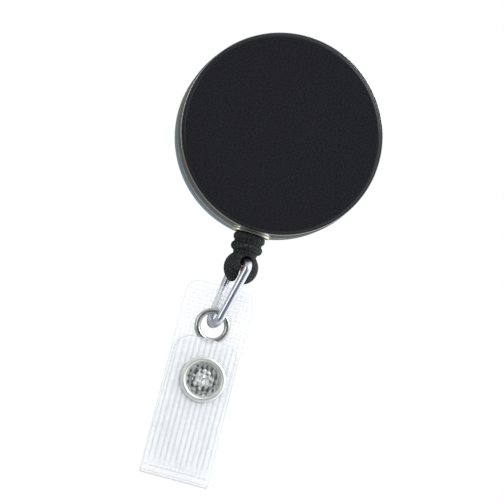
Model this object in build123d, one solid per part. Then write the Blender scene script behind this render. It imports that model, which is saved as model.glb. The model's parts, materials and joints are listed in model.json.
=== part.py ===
from build123d import *
import os
from math import acos, atan2, cos, radians, sin

# Retractable badge reel: a 38 mm round case on a swivelling spring clip, a sprung spool of
# cord, a rubber cord stop, a bent wire link and a clear vinyl strap that closes with a snap.
#
# Frame: millimetres, +Z up, the reel hanging upright. The origin is the centre of the round
# front face, which looks along -Y. The spool turns about Y, and the strap hangs along -Z.
# The link and the strap hang a little aside and a little twisted, as a laid-down reel does.

# ---------------------------------------------------------------- driving dimensions
# Case
CASE_R = 19.0
CASE_DEPTH = 10.0
WALL = 1.0
FACE_R = 18.6
FACE_T = 1.2
FACE_EDGE_ROUND = 0.8
LIP_SETBACK = 0.55          # the chrome lip stands this far behind the face
SEAM_GAP = 0.1              # shadow gap between the two shells
TONGUE_T = 0.5
TONGUE_LENGTH = 1.2
TONGUE_CLEARANCE = 0.02
LIP_ROUND = 0.25
REAR_EDGE_ROUND = 0.8
MOUTH_Z = -18.65            # flat at the bottom of the case, under the cord guide

# Cord, cord guide and cord stop
CORD_R = 0.4
GUIDE_SIZE = (7.2, 3.6, 0.45)
GUIDE_NECK_R = 1.3
GUIDE_FLANGE = (1.85, 0.5)  # radius and thickness of the flange inside the case
GUIDE_BORE_R = 0.7
GUIDE_FUNNEL = (1.7, 0.9)   # radius and depth of the bore's mouth inside the case
GUIDE_EXIT_FLARE = 0.15
RIB_R = 3.0
RIB_TALL = 1.5
RIB_GAP = 0.3
RIB_WAIST_R = 2.6
NECK_R = 2.35
BALL_R = 3.14
BALL_HALF_DEPTH = 2.1
BALL_EDGE_ROUND = 1.6
BALL_Z = -25.5
HOLE_R = 1.1                # cross hole for the link
HOLE_FLARE = (0.6, 0.8)     # extra radius and depth of the hole's flared mouths
HOLE_ABOVE_BALL = 0.94
SLOT_WIDTH = 1.85
STOP_TWIST = 16.0           # degrees about Z
FERRULE_R = 1.1
FERRULE_TALL = 1.9
FERRULE_GRIP = 0.8          # depth of the holes in the ferrule's two ends
LOOP_WIRE_R = 0.35
CORD_BEND_R = 1.5

# Spool and power spring
SPOOL_R = 17.0
FLANGE_T = 0.7
GROOVE = 1.8
HUB_R = 11.5
CUP_R = 10.5
CUP_END_Y = 7.3
COVER_T = 0.4
ARBOR_R = 1.9
ARBOR_FOOT_R = 3.4
ARBOR_SPIGOT_R = 1.2
ARBOR_END_Y = 7.55
ARBOR_SLOT = 0.4
SCREW_R = 0.8
SCREW_HEAD = (1.9, 0.55)    # radius and height
SCREW_RECESS = (1.0, 0.4)   # half length and width of each arm of the cross
SPOOL_WASHER = (3.0, 0.25)  # radius and thickness
RUNNING_GAP = 0.05
COIL_COLUMNS = 2
COIL_LAYERS = 5
SPRING_T = 0.15
SPRING_WIDTH = 2.6
SPRING_TURNS = 12
SPRING_NOTCH = 0.6

# Wire link
WIRE_R = 0.78
LINK_LENGTH = 12.75         # bar centre to bottom centre
LINK_TOP_WIDTH = 6.2
LINK_BOTTOM_WIDTH = 3.9
LINK_CORNER_R = 1.4
LINK_BUTT = 1.1             # where the wire's two ends meet, along the bar
LINK_TWIST = 19.5           # degrees about Z
LINK_SWING = 10.5           # degrees about the bar, bottom towards -X

# Strap, eyelet and snap
STRAP_W = 12.8
STRAP_T = 0.5
STRAP_TOP = 7.4             # above the eyelet's centre
STRAP_BOTTOM = 29.4         # below the eyelet's centre
STRAP_GAP = 0.9             # between the back layer and the flap
STRAP_CORNER_R = 2.1
STRAP_SWING = -1.5          # degrees about Y, bottom towards +X
FLAP_END = -2.3             # the flap's top edge, from the eyelet's centre
FOLD_BAND = 1.6
EYELET_R = 3.3
EYELET_HOLE_R = 2.25
EYELET_FLANGE_T = 0.45
EYELET_DROP = 0.4           # the eyelet's centre hangs this far below the wire's
SNAP_U = 0.6                # right of the strap's centre line
SNAP_V = -10.2              # below the eyelet's centre
SNAP_R = 4.25
SNAP_RING_HOLE_R = 3.2
SNAP_RING_T = 0.9
DOME_RISE = 0.75
STUD_R = 1.8
SEAT_GAP = 0.1              # slack between the snap's halves and the eyelet's rolled edge

# Belt clip
PLATE_T = 0.8
CLIP_HALF_W = 5.0
CLIP_TOP_Z = 11.0
JAW_Z = -13.5
JAW_TOOTH = 1.5
JAW_NOTCH = 0.9
JAW_NOTCH_PITCH = 2.4
CLIP_CORNER_R = 1.2
BASE_EAR = (1.9, 3.2)       # radius of the ear round the pin, and half the length of its root
LEVER_EAR = (1.6, 2.6)
LEVER_LINE = [(17.4, 14.6), (16.2, 9.0), (16.0, 1.5), (13.5, -8.6), (13.15, -13.3)]   # (y, z)
PIN_R = 0.8
PIN_Y, PIN_Z = 13.7, 4.5
PIN_HEAD = (1.25, 0.4)      # radius and thickness
RIVET_R = 1.5
RIVET_HEAD_R = 2.4
CLIP_WASHER_R = 4.0
TORSION_WIRE_R = 0.25
TORSION_COIL_R = 1.4
TORSION_TURNS = 4.5
TORSION_LEG = 5.2

# ---------------------------------------------------------------- derived dimensions
MID_Y = CASE_DEPTH / 2                     # the seam, the cord and the stop lie in this plane
FRONT_FLOOR_Y = FACE_T + WALL              # inner face of the front shell
REAR_FLOOR_Y = CASE_DEPTH - WALL           # inner face of the rear shell
INNER_R = CASE_R - WALL
GUIDE_BOTTOM_Z = MOUTH_Z - GUIDE_SIZE[2]
STOP_TOP_Z = GUIDE_BOTTOM_Z - 0.05
BAR_Z = BALL_Z + HOLE_ABOVE_BALL           # the link's bar lies on the cross hole's axis
FERRULE_BOTTOM_Z = BAR_Z + WIRE_R + 2 * LOOP_WIRE_R - 0.1
LOOP_R = WIRE_R + LOOP_WIRE_R + 0.03       # centre line of the loop round the bar
COIL_PITCH = 2 * CORD_R
COIL_OUT_R = HUB_R + COIL_LAYERS * COIL_PITCH
RUN_R = COIL_OUT_R + 0.35                  # the last turn lies between the two top columns
SPOOL_FRONT_Y = MID_Y - GROOVE / 2 - FLANGE_T
CUP_FLOOR_Y = SPOOL_FRONT_Y + FLANGE_T
SPRING_FRONT_Y = CUP_FLOOR_Y + 0.15
CLIP_FACE_Y = CASE_DEPTH + 0.4             # front face of the clip's base, behind its washer
CLIP_BACK_Y = CLIP_FACE_Y + PLATE_T
LEVER_HALF_W = CLIP_HALF_W - PLATE_T - 0.1
FLAP_BACK_N = -STRAP_GAP
FLAP_FRONT_N = -STRAP_GAP - STRAP_T

LINK_PLACE = Location((0, MID_Y, BAR_Z)) * Rotation(0, 0, LINK_TWIST) * Rotation(0, LINK_SWING, 0)
LINK_BOTTOM = (LINK_PLACE * Location((0, 0, -LINK_LENGTH))).position
STRAP_MID_N = STRAP_T / 2
STRAP_PLACE = Location(LINK_BOTTOM - Vector(0, STRAP_MID_N, EYELET_DROP)) * Rotation(0, STRAP_SWING, 0)


# ---------------------------------------------------------------- small helpers
def turned_y(points):
    """A solid turned about Y. Each point is (radius, y)."""
    return revolve(make_face(Polyline([(r, y, 0) for r, y in points], close=True)), Axis.Y)


def turned_z(points):
    """A solid turned about Z. Each point is (radius, z)."""
    return revolve(make_face(Polyline([(r, 0, z) for r, z in points], close=True)), Axis.Z)


def tube_y(outer, inner, y_front, y_back):
    """A ring about Y, or a disc when inner is 0."""
    return turned_y([(inner, y_front), (outer, y_front), (outer, y_back), (inner, y_back)])


def block(x0, x1, y0, y1, z0, z1):
    """A box given by its limits."""
    return Pos((x0 + x1) / 2, (y0 + y1) / 2, (z0 + z1) / 2) * Box(x1 - x0, y1 - y0, z1 - z0)


def post(radius, z0, z1, x=0.0, y=MID_Y):
    """A vertical cylinder between two heights."""
    return Pos(x, y, (z0 + z1) / 2) * Cylinder(radius, z1 - z0)


def soften(solid, radius, position, size):
    """Round the circular edge about Y that has this radius and y position."""
    rims = solid.edges().filter_by(GeomType.CIRCLE)
    rim = min(rims, key=lambda e: abs(e.radius - radius) + abs(e.arc_center.Y - position))
    return fillet(rim, size)


def swept(path, radius):
    """Round wire or cord of the given radius along a path."""
    section = Plane(origin=path @ 0, z_dir=path % 0) * Circle(radius)
    return sweep(section, path=path)


# ---------------------------------------------------------------- case
def case_mouth():
    """What is cut from both shells for the cord guide: a flat and a round hole."""
    flat = block(-CASE_R, CASE_R, -1, CASE_DEPTH + 1, -CASE_R - 1, MOUTH_Z)
    return flat + post(GUIDE_NECK_R, -CASE_R, -INNER_R + WALL)


def front_case():
    """Front shell: a cup with a lip round the face plate and a tongue into the rear shell."""
    seam = MID_Y - SEAM_GAP / 2
    shell = turned_y([
        (ARBOR_SPIGOT_R, FACE_T), (FACE_R, FACE_T), (FACE_R, LIP_SETBACK), (CASE_R, LIP_SETBACK),
        (CASE_R, seam), (INNER_R + TONGUE_T, seam), (INNER_R + TONGUE_T, seam + TONGUE_LENGTH),
        (INNER_R, seam + TONGUE_LENGTH), (INNER_R, FRONT_FLOOR_Y), (ARBOR_SPIGOT_R, FRONT_FLOOR_Y),
    ])
    shell = soften(shell, CASE_R, LIP_SETBACK, LIP_ROUND)
    return shell - case_mouth()


def rear_case():
    """Rear shell: a cup with a rebate for the tongue and a hole for the clip's rivet."""
    seam = MID_Y + SEAM_GAP / 2
    rebate_r = INNER_R + TONGUE_T + TONGUE_CLEARANCE
    rebate_y = seam + TONGUE_LENGTH
    shell = turned_y([
        (RIVET_R, REAR_FLOOR_Y), (INNER_R, REAR_FLOOR_Y), (INNER_R, rebate_y), (rebate_r, rebate_y),
        (rebate_r, seam), (CASE_R, seam), (CASE_R, CASE_DEPTH), (RIVET_R, CASE_DEPTH),
    ])
    shell = soften(shell, CASE_R, CASE_DEPTH, REAR_EDGE_ROUND)
    return shell - case_mouth()


def face_plate():
    """Black round plate set in the front shell."""
    return soften(tube_y(FACE_R, 0, 0, FACE_T), FACE_R, 0, FACE_EDGE_ROUND)


def cord_guide():
    """Oblong lip under the case with a neck through the wall and a flange inside."""
    length, width, thick = GUIDE_SIZE
    plate = Pos(0, MID_Y, MOUTH_Z - thick / 2) * extrude(SlotOverall(length, width), thick / 2, both=True)
    flange_r, flange_t = GUIDE_FLANGE
    flange_z = -INNER_R + 0.11
    body = plate + post(GUIDE_NECK_R, MOUTH_Z, flange_z) + post(flange_r, flange_z, flange_z + flange_t)
    top = flange_z + flange_t
    funnel_r, funnel_depth = GUIDE_FUNNEL
    flare = GUIDE_EXIT_FLARE
    bore = turned_z([
        (0, top), (funnel_r, top), (GUIDE_BORE_R, top - funnel_depth), (GUIDE_BORE_R, GUIDE_BOTTOM_Z + flare),
        (GUIDE_BORE_R + flare, GUIDE_BOTTOM_Z), (0, GUIDE_BOTTOM_Z),
    ])
    return body - Pos(0, MID_Y, 0) * bore


# ---------------------------------------------------------------- spool and spring
def spring_arbor():
    """Fixed slotted post that the spool turns on and the spring's inner end is held by."""
    arbor = turned_y([
        (0, FACE_T), (ARBOR_SPIGOT_R, FACE_T), (ARBOR_SPIGOT_R, FRONT_FLOOR_Y), (ARBOR_FOOT_R, FRONT_FLOOR_Y),
        (ARBOR_FOOT_R, SPOOL_FRONT_Y - 0.1), (ARBOR_R, SPOOL_FRONT_Y - 0.1), (ARBOR_R, ARBOR_END_Y),
        (SCREW_R, ARBOR_END_Y), (SCREW_R, CUP_FLOOR_Y), (0, CUP_FLOOR_Y),
    ])
    half_slot = ARBOR_SLOT / 2
    slot = block(SCREW_R + 0.2, ARBOR_R + 1, SPRING_FRONT_Y - 0.1, ARBOR_END_Y, -half_slot, half_slot)
    return arbor - slot


def spool():
    """Cord groove round a cup for the spring, with a notch for the spring's outer end."""
    rear_flange_y = MID_Y + GROOVE / 2
    bore_r = ARBOR_R + RUNNING_GAP
    body = turned_y([
        (bore_r, SPOOL_FRONT_Y), (SPOOL_R, SPOOL_FRONT_Y), (SPOOL_R, CUP_FLOOR_Y), (HUB_R, CUP_FLOOR_Y),
        (HUB_R, rear_flange_y), (SPOOL_R, rear_flange_y), (SPOOL_R, rear_flange_y + FLANGE_T),
        (HUB_R, rear_flange_y + FLANGE_T), (HUB_R, CUP_END_Y), (CUP_R + 0.5, CUP_END_Y),
        (CUP_R + 0.5, CUP_END_Y - COVER_T), (CUP_R, CUP_END_Y - COVER_T), (CUP_R, CUP_FLOOR_Y),
        (bore_r, CUP_FLOOR_Y),
    ])
    half_notch = SPRING_NOTCH / 2
    notch = block(CUP_R - 1, HUB_R - 0.3, SPRING_FRONT_Y - 0.1, CUP_END_Y - COVER_T, -half_notch, half_notch)
    return body - notch


def spring_cover():
    """Thin disc that keeps the power spring in its cup."""
    return tube_y(CUP_R + 0.5, ARBOR_R + RUNNING_GAP, CUP_END_Y - COVER_T, CUP_END_Y)


def power_spring():
    """Flat spiral spring of half-round turns, from the arbor's slot to the notch in the cup."""
    start_r, end_r = ARBOR_R + 0.2, CUP_R - 0.15
    halves = 2 * SPRING_TURNS

    def side(offset):
        """One face of the strip: half circles that grow from the arbor to the cup wall."""
        arcs = []
        for i in range(halves):
            near = start_r + (end_r - start_r) * i / halves + offset
            far = start_r + (end_r - start_r) * (i + 1) / halves + offset
            way = 1 if i % 2 == 0 else -1
            begin, end = (way * near, SPRING_FRONT_Y, 0), (-way * far, SPRING_FRONT_Y, 0)
            crown = (way * (near - far) / 2, SPRING_FRONT_Y, way * (near + far) / 2)
            arcs.append(ThreePointArc(begin, crown, end))
        return arcs

    inner, outer = side(-SPRING_T / 2), side(SPRING_T / 2)
    ends = [Line(inner[0] @ 0, outer[0] @ 0), Line(inner[-1] @ 1, outer[-1] @ 1)]
    strip = extrude(make_face(inner + outer + ends), SPRING_WIDTH, dir=(0, 1, 0))
    back_y = SPRING_FRONT_Y + SPRING_WIDTH
    half_t = SPRING_T / 2
    tang = block(SCREW_R + 0.3, start_r + half_t, SPRING_FRONT_Y, back_y, -half_t, half_t)
    hook = block(end_r - half_t, HUB_R - 0.5, SPRING_FRONT_Y, back_y, -half_t, half_t)
    return strip + tang + hook


def spool_washer():
    radius, thickness = SPOOL_WASHER
    return tube_y(radius, SCREW_R, ARBOR_END_Y, ARBOR_END_Y + thickness)


def spool_screw():
    """Pan-head screw with a cross recess, which keeps the spool on the arbor."""
    head_y = ARBOR_END_Y + SPOOL_WASHER[1]
    head_r, head_t = SCREW_HEAD
    screw = turned_y([
        (0, CUP_FLOOR_Y + 0.5), (SCREW_R, CUP_FLOOR_Y + 0.5), (SCREW_R, head_y), (head_r, head_y),
        (head_r, head_y + head_t - 0.25), (head_r - 0.5, head_y + head_t), (0, head_y + head_t),
    ])
    arm, half_w = SCREW_RECESS[0], SCREW_RECESS[1] / 2
    floor = head_y + head_t - 0.3
    recess = block(-arm, arm, floor, floor + 1, -half_w, half_w)
    recess += block(-half_w, half_w, floor, floor + 1, -arm, arm)
    return screw - recess


def cord_coil():
    """The wound cord: round turns packed in columns and layers, as one ring."""
    profile = Rectangle(COIL_LAYERS * COIL_PITCH - COIL_PITCH, GROOVE - 2 * COIL_PITCH + 0.6)
    profile = Pos((HUB_R + COIL_OUT_R) / 2, MID_Y) * profile
    for column in range(COIL_COLUMNS):
        y = MID_Y + (column - (COIL_COLUMNS - 1) / 2) * COIL_PITCH
        for layer in range(COIL_LAYERS):
            r = HUB_R + CORD_R + layer * COIL_PITCH
            profile += Pos(r + 0.03, y) * Circle(CORD_R + 0.02)
    return revolve(profile, Axis.Y)


# ---------------------------------------------------------------- cord, stop and ferrule
def cord():
    """The cord from the coil's last turn, through the guide, down into the ferrule."""
    guide_top = -INNER_R + 0.4
    lean = acos(RUN_R / -guide_top)        # angle from -Z of the tangent point on the coil
    start = (-RUN_R * sin(lean), MID_Y, -RUN_R * cos(lean))
    end = (0, MID_Y, FERRULE_BOTTOM_Z + FERRULE_TALL - FERRULE_GRIP)
    path = FilletPolyline(start, (0, MID_Y, guide_top), end, radius=CORD_BEND_R)
    return swept(path, CORD_R)


def cord_loop():
    """Copper wire loop under the link's bar, with both ends crimped in the ferrule."""
    side = LOOP_WIRE_R + 0.02
    mouth = FERRULE_BOTTOM_Z - BAR_Z
    half = [(side, mouth)] + [
        (LOOP_R * cos(radians(a)), LOOP_R * sin(radians(a)) + lift)
        for a, lift in ((50, 0.05), (0, 0), (-45, 0))
    ]
    points = half + [(0, -LOOP_R)] + [(-x, z) for x, z in reversed(half)]
    under = Spline([(x, 0, z) for x, z in points], tangents=[(0, 0, -1), (0, 0, 1)])
    up = mouth + FERRULE_GRIP - 0.1
    path = Wire([
        Line((side, 0, up), (side, 0, mouth)), under, Line((-side, 0, mouth), (-side, 0, up)),
    ])
    return Pos(0, MID_Y, BAR_Z) * Rotation(0, 0, LINK_TWIST) * swept(path, LOOP_WIRE_R)


def cord_ferrule():
    """Crimped tube: the cord enters from above, and both ends of the wire loop from below."""
    bottom, top = FERRULE_BOTTOM_Z, FERRULE_BOTTOM_Z + FERRULE_TALL
    ends = SlotCenterToCenter(2 * LOOP_WIRE_R + 0.04, 2 * LOOP_WIRE_R + 0.02)
    ends = Pos(0, 0, bottom) * extrude(ends, FERRULE_GRIP)
    body = post(FERRULE_R, bottom, top) - post(CORD_R, top - FERRULE_GRIP, top)
    return body - Pos(0, MID_Y, 0) * Rotation(0, 0, LINK_TWIST) * ends


def cord_stop():
    """Rubber stop: two ribs over a flattened ball with a cross hole, a slot and a bore."""
    def rib(top):
        return turned_z([
            (0, top), (RIB_R - 0.45, top), (RIB_R - 0.1, top - 0.3), (RIB_R, top - RIB_TALL / 2),
            (RIB_R - 0.1, top - RIB_TALL + 0.3), (RIB_R - 0.45, top - RIB_TALL), (0, top - RIB_TALL),
        ])

    second = STOP_TOP_Z - RIB_TALL - RIB_GAP
    neck_bottom = BALL_Z + BALL_R * 0.6
    body = rib(STOP_TOP_Z) + rib(second)
    body += turned_z([
        (0, STOP_TOP_Z - 0.5), (RIB_WAIST_R, STOP_TOP_Z - 0.5), (RIB_WAIST_R, second - RIB_TALL / 2),
        (NECK_R, second - RIB_TALL), (NECK_R - 0.3, neck_bottom), (0, neck_bottom),
    ])
    ball = Rotation(90, 0, 0) * Cylinder(BALL_R, 2 * BALL_HALF_DEPTH)
    ball = fillet(ball.edges().filter_by(GeomType.CIRCLE), BALL_EDGE_ROUND)
    body += Pos(0, 0, BALL_Z) * ball

    hole = Pos(0, 0, BAR_Z) * Rotation(90, 0, 0) * Cylinder(HOLE_R, 2 * BALL_R)
    flare_r, flare_depth = HOLE_FLARE
    for side in (-1, 1):
        flare = Rotation(side * 90, 0, 0) * Cone(HOLE_R + flare_r, HOLE_R, flare_depth)
        hole += Pos(0, side * (BALL_HALF_DEPTH + 0.1), BAR_Z) * flare
    slot = block(-SLOT_WIDTH / 2, SLOT_WIDTH / 2, -BALL_R, BALL_R, BALL_Z - BALL_R - 1, BAR_Z)
    body -= hole + slot
    pocket_r = LOOP_R + LOOP_WIRE_R + 0.08
    pocket = Pos(0, 0, BAR_Z) * Rotation(0, 0, LINK_TWIST - STOP_TWIST)
    body -= pocket * Rotation(90, 0, 0) * Cylinder(pocket_r, 2 * LOOP_WIRE_R + 0.2)
    ferrule_top = FERRULE_BOTTOM_Z + FERRULE_TALL + 0.05
    body -= post(FERRULE_R + 0.08, BAR_Z, ferrule_top, y=0)
    body -= post(CORD_R + 0.15, ferrule_top - 0.1, STOP_TOP_Z + 0.1, y=0)
    return Pos(0, MID_Y, 0) * Rotation(0, 0, STOP_TWIST) * body


# ---------------------------------------------------------------- wire link
def strap_link():
    """Bent wire: a bar, two tapering legs and a round bottom, butted inside the cord stop."""
    top, bottom = LINK_TOP_WIDTH / 2, LINK_BOTTOM_WIDTH / 2
    lean = atan2(top - bottom, LINK_LENGTH - LINK_CORNER_R - bottom)
    low = -LINK_LENGTH + bottom            # centre height of the round bottom
    high = -LINK_CORNER_R                  # centre height of the top corners
    corner = top - LINK_CORNER_R

    def leg_points(side):
        tilt = (cos(lean), -sin(lean))
        upper = (side * (corner + LINK_CORNER_R * tilt[0]), high + LINK_CORNER_R * tilt[1])
        lower = (side * bottom * tilt[0], low + bottom * tilt[1])
        mid_turn = radians(45) - lean / 2
        crown = (side * (corner + LINK_CORNER_R * cos(mid_turn)), high + LINK_CORNER_R * sin(mid_turn))
        return crown, upper, lower

    def at(point):
        return (0, point[0], point[1])

    back_crown, back_upper, back_lower = leg_points(1)
    front_crown, front_upper, front_lower = leg_points(-1)
    path = Wire([
        Line(at((LINK_BUTT, 0)), at((corner, 0))),
        ThreePointArc(at((corner, 0)), at(back_crown), at(back_upper)),
        Line(at(back_upper), at(back_lower)),
        ThreePointArc(at(back_lower), at((0, -LINK_LENGTH)), at(front_lower)),
        Line(at(front_lower), at(front_upper)),
        ThreePointArc(at(front_upper), at(front_crown), at((-corner, 0))),
        Line(at((-corner, 0)), at((LINK_BUTT - 0.1, 0))),
    ])
    return LINK_PLACE * swept(path, WIRE_R)


# ---------------------------------------------------------------- strap, in its own frame:
# x across the strap, z up it, y through it, from the eyelet's centre on the back layer's face
def strap_outline(top, bottom, width, corner_r):
    """A sheet outline in the strap's plane with round top corners."""
    sheet = Rectangle(width, top - bottom, align=(Align.CENTER, Align.MIN))
    sheet = Pos(0, bottom) * sheet
    corners = sheet.vertices().sort_by(Axis.Y)[-2:]
    return fillet(corners, corner_r)


def sheet_solid(outline, front, back):
    """The outline as a sheet between two depths."""
    flat = Plane(origin=(0, back, 0), x_dir=(1, 0, 0), z_dir=(0, -1, 0))
    return extrude(flat * outline, back - front)


def hole_at(radius, u, v, front, back):
    """A round hole through the strap."""
    return Pos(u, 0, v) * tube_y(radius, 0, front, back)


def strap_back():
    """Back layer and the fold at its foot, with holes for the eyelet and the snap's stud."""
    thickness = STRAP_GAP + 2 * STRAP_T
    fold_z = -STRAP_BOTTOM + thickness / 2
    layer = sheet_solid(strap_outline(STRAP_TOP, fold_z, STRAP_W, STRAP_CORNER_R), 0, STRAP_T)
    mid = -STRAP_GAP / 2
    bend = Pos(0, mid, fold_z) * Rotation(0, 90, 0) * (
        Cylinder(thickness / 2, STRAP_W) - Cylinder(STRAP_GAP / 2, STRAP_W))
    bend -= block(-STRAP_W, STRAP_W, -5, 5, fold_z, fold_z + 5)
    hem_top = -STRAP_BOTTOM + FOLD_BAND
    hem = block(-STRAP_W / 2, STRAP_W / 2, FLAP_FRONT_N, FLAP_BACK_N, fold_z, hem_top)
    body = layer + bend + hem
    body -= hole_at(EYELET_HOLE_R + 0.3, 0, 0, -1, 1)
    body -= hole_at(STUD_R - 0.4, SNAP_U, SNAP_V, -1, 1)
    return STRAP_PLACE * body


def strap_front():
    """The flap that folds up in front and closes on the snap, domed over the snap's socket."""
    hem_top = -STRAP_BOTTOM + FOLD_BAND
    flap = sheet_solid(strap_outline(FLAP_END, hem_top, STRAP_W, STRAP_CORNER_R), FLAP_FRONT_N, FLAP_BACK_N)
    dome_r = SNAP_RING_HOLE_R - 0.35
    flap -= hole_at(dome_r, SNAP_U, SNAP_V, -3, 0)
    top = FLAP_FRONT_N - DOME_RISE
    dome = turned_y([
        (0, top), (dome_r * 0.6, top + 0.12), (dome_r, FLAP_FRONT_N), (dome_r, FLAP_BACK_N),
        (dome_r * 0.9, FLAP_BACK_N), (dome_r * 0.55, top + STRAP_T * 0.9 + 0.12), (0, top + STRAP_T * 0.9),
    ])
    return STRAP_PLACE * (flap + Pos(SNAP_U, 0, SNAP_V) * dome)


def eyelet():
    """Rolled metal eyelet: a front flange and a barrel through the back layer."""
    front = -EYELET_FLANGE_T
    barrel_r = EYELET_HOLE_R + 0.3
    ring = turned_y([
        (EYELET_HOLE_R, front + 0.12), (EYELET_HOLE_R + 0.2, front), (EYELET_R - 0.3, front + 0.05),
        (EYELET_R, 0), (barrel_r, 0), (barrel_r, STRAP_T + 0.25), (EYELET_HOLE_R, STRAP_T + 0.25),
    ])
    return STRAP_PLACE * ring


def eyelet_washer():
    """Ring that the eyelet's barrel is rolled over at the back."""
    inner = EYELET_HOLE_R + 0.3
    return STRAP_PLACE * tube_y(EYELET_R, inner, STRAP_T, STRAP_T + 0.35)


def snap_ring(front, back, bulge):
    """Open ring with a rounded bead; bulge is the side the bead stands on."""
    mid = (SNAP_R + SNAP_RING_HOLE_R) / 2
    face, seat = (front, back) if bulge < 0 else (back, front)
    step = (seat - face) * 0.25
    return turned_y([
        (SNAP_RING_HOLE_R, seat), (SNAP_RING_HOLE_R, face + 2 * step),
        (SNAP_RING_HOLE_R + 0.2, face + 0.6 * step), (mid, face), (SNAP_R - 0.2, face + 0.6 * step),
        (SNAP_R, face + 2 * step), (SNAP_R, seat),
    ])


def snap_front_ring():
    ring = snap_ring(FLAP_FRONT_N - SNAP_RING_T, FLAP_FRONT_N, -1)
    return STRAP_PLACE * Pos(SNAP_U, 0, SNAP_V) * ring


def snap_rear_ring():
    """Cap behind the back layer whose stem holds the stud."""
    back = STRAP_T + SNAP_RING_T
    stem_r = STUD_R - 0.4
    cap = turned_y([
        (0, -SEAT_GAP), (stem_r, -SEAT_GAP), (stem_r, STRAP_T), (SNAP_R, STRAP_T), (SNAP_R, back - 0.4),
        (SNAP_R - 0.5, back), (SNAP_RING_HOLE_R, back), (SNAP_RING_HOLE_R - 0.3, back - 0.45),
        (0, back - 0.45),
    ])
    return STRAP_PLACE * Pos(SNAP_U, 0, SNAP_V) * cap


def snap_socket():
    """Socket behind the flap: a flange with a domed cap that takes the stud."""
    flange_r = SNAP_R - 0.2
    hole_r = STUD_R + 0.1
    dome_top = FLAP_FRONT_N - DOME_RISE + STRAP_T * 0.9 + SEAT_GAP
    inner_top = dome_top + 0.3
    socket = turned_y([
        (hole_r, FLAP_BACK_N + 0.4), (flange_r, FLAP_BACK_N + 0.4), (flange_r, FLAP_BACK_N),
        (hole_r + 0.35, FLAP_BACK_N), (hole_r * 0.6, dome_top + 0.1), (0, dome_top), (0, inner_top),
        (hole_r * 0.5, inner_top + 0.05), (hole_r, FLAP_BACK_N + 0.1),
    ])
    return STRAP_PLACE * Pos(SNAP_U, 0, SNAP_V) * socket


def snap_stud():
    """Stud on the back layer: a flange with a round-headed post, set on the rear cap's stem."""
    post_top = FLAP_BACK_N - 0.15
    stem_r = STUD_R - 0.4
    stud = turned_y([
        (0, post_top), (STUD_R * 0.7, post_top + 0.08), (STUD_R, post_top + 0.4), (STUD_R, -0.35),
        (SNAP_R - 0.5, -0.35), (SNAP_R - 0.5, 0), (stem_r, 0), (stem_r, -SEAT_GAP), (0, -SEAT_GAP),
    ])
    return STRAP_PLACE * Pos(SNAP_U, 0, SNAP_V) * stud


# ---------------------------------------------------------------- belt clip
def bent_plate(points, half_width):
    """A strip of plate whose middle line runs through (y, z) points, across X."""
    line = Polyline([(0, y, z) for y, z in points])
    start = Plane(origin=line @ 0, x_dir=(1, 0, 0), z_dir=line % 0)
    return sweep(start * Rectangle(2 * half_width, PLATE_T), path=line, transition=Transition.RIGHT)


def pin_ears(outer_x, size, root_y):
    """Two side ears round the pin, joined to a plate at root_y. The size is (radius, half root)."""
    radius, half_root = size
    inner_x = outer_x - PLATE_T
    disc = Pos(0, PIN_Y, PIN_Z) * Rotation(0, 90, 0) * Cylinder(radius, 2 * outer_x)
    web = Polyline([
        (0, PIN_Y, PIN_Z - radius), (0, root_y, PIN_Z - half_root),
        (0, root_y, PIN_Z + half_root), (0, PIN_Y, PIN_Z + radius),
    ], close=True)
    web = extrude(make_face(web), outer_x, dir=(1, 0, 0), both=True)
    middle = block(-inner_x, inner_x, -50, 50, -50, 50)
    return disc + web - middle


def pin_hole(radius):
    return Pos(0, PIN_Y, PIN_Z) * Rotation(0, 90, 0) * Cylinder(radius, 4 * CLIP_HALF_W)


def clip_base():
    """Flat strip riveted to the case, with ears for the pin and a toothed jaw at its foot."""
    plate = block(-CLIP_HALF_W, CLIP_HALF_W, CLIP_FACE_Y, CLIP_BACK_Y, JAW_Z, CLIP_TOP_Z)
    plate = fillet(plate.edges().filter_by(Axis.Y), CLIP_CORNER_R)
    jaw_w = CLIP_HALF_W - CLIP_CORNER_R
    jaw = block(-jaw_w, jaw_w, CLIP_BACK_Y, CLIP_BACK_Y + JAW_TOOTH, JAW_Z, JAW_Z + PLATE_T)
    notch_y = CLIP_BACK_Y + JAW_TOOTH / 2
    notch = block(-JAW_NOTCH / 2, JAW_NOTCH / 2, notch_y, notch_y + 3, JAW_Z - 1, JAW_Z + 2)
    for i in (-1, 0, 1):
        jaw -= Pos(i * JAW_NOTCH_PITCH, 0, 0) * notch
    body = plate + jaw + pin_ears(CLIP_HALF_W, BASE_EAR, CLIP_BACK_Y - 0.1)
    body -= tube_y(RIVET_R + RUNNING_GAP, 0, CLIP_FACE_Y - 1, CLIP_BACK_Y + 1)
    return body - pin_hole(PIN_R)


def clip_lever():
    """Rocking strip: thumb pad above the pin, jaw below it, ears inside the base's ears."""
    plate = bent_plate(LEVER_LINE, LEVER_HALF_W)
    root_y = LEVER_LINE[2][0] - 0.1
    ears = pin_ears(LEVER_HALF_W, LEVER_EAR, root_y)
    return plate + ears - pin_hole(PIN_R + RUNNING_GAP)


def clip_pin():
    """Pin through all four ears, headed at both ends."""
    head_r, head_t = PIN_HEAD
    pin = Rotation(0, 90, 0) * Cylinder(PIN_R, 2 * CLIP_HALF_W)
    for side in (-1, 1):
        pin += Pos(side * (CLIP_HALF_W + head_t / 2), 0, 0) * Rotation(0, 90, 0) * Cylinder(head_r, head_t)
    return Pos(0, PIN_Y, PIN_Z) * pin


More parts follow.
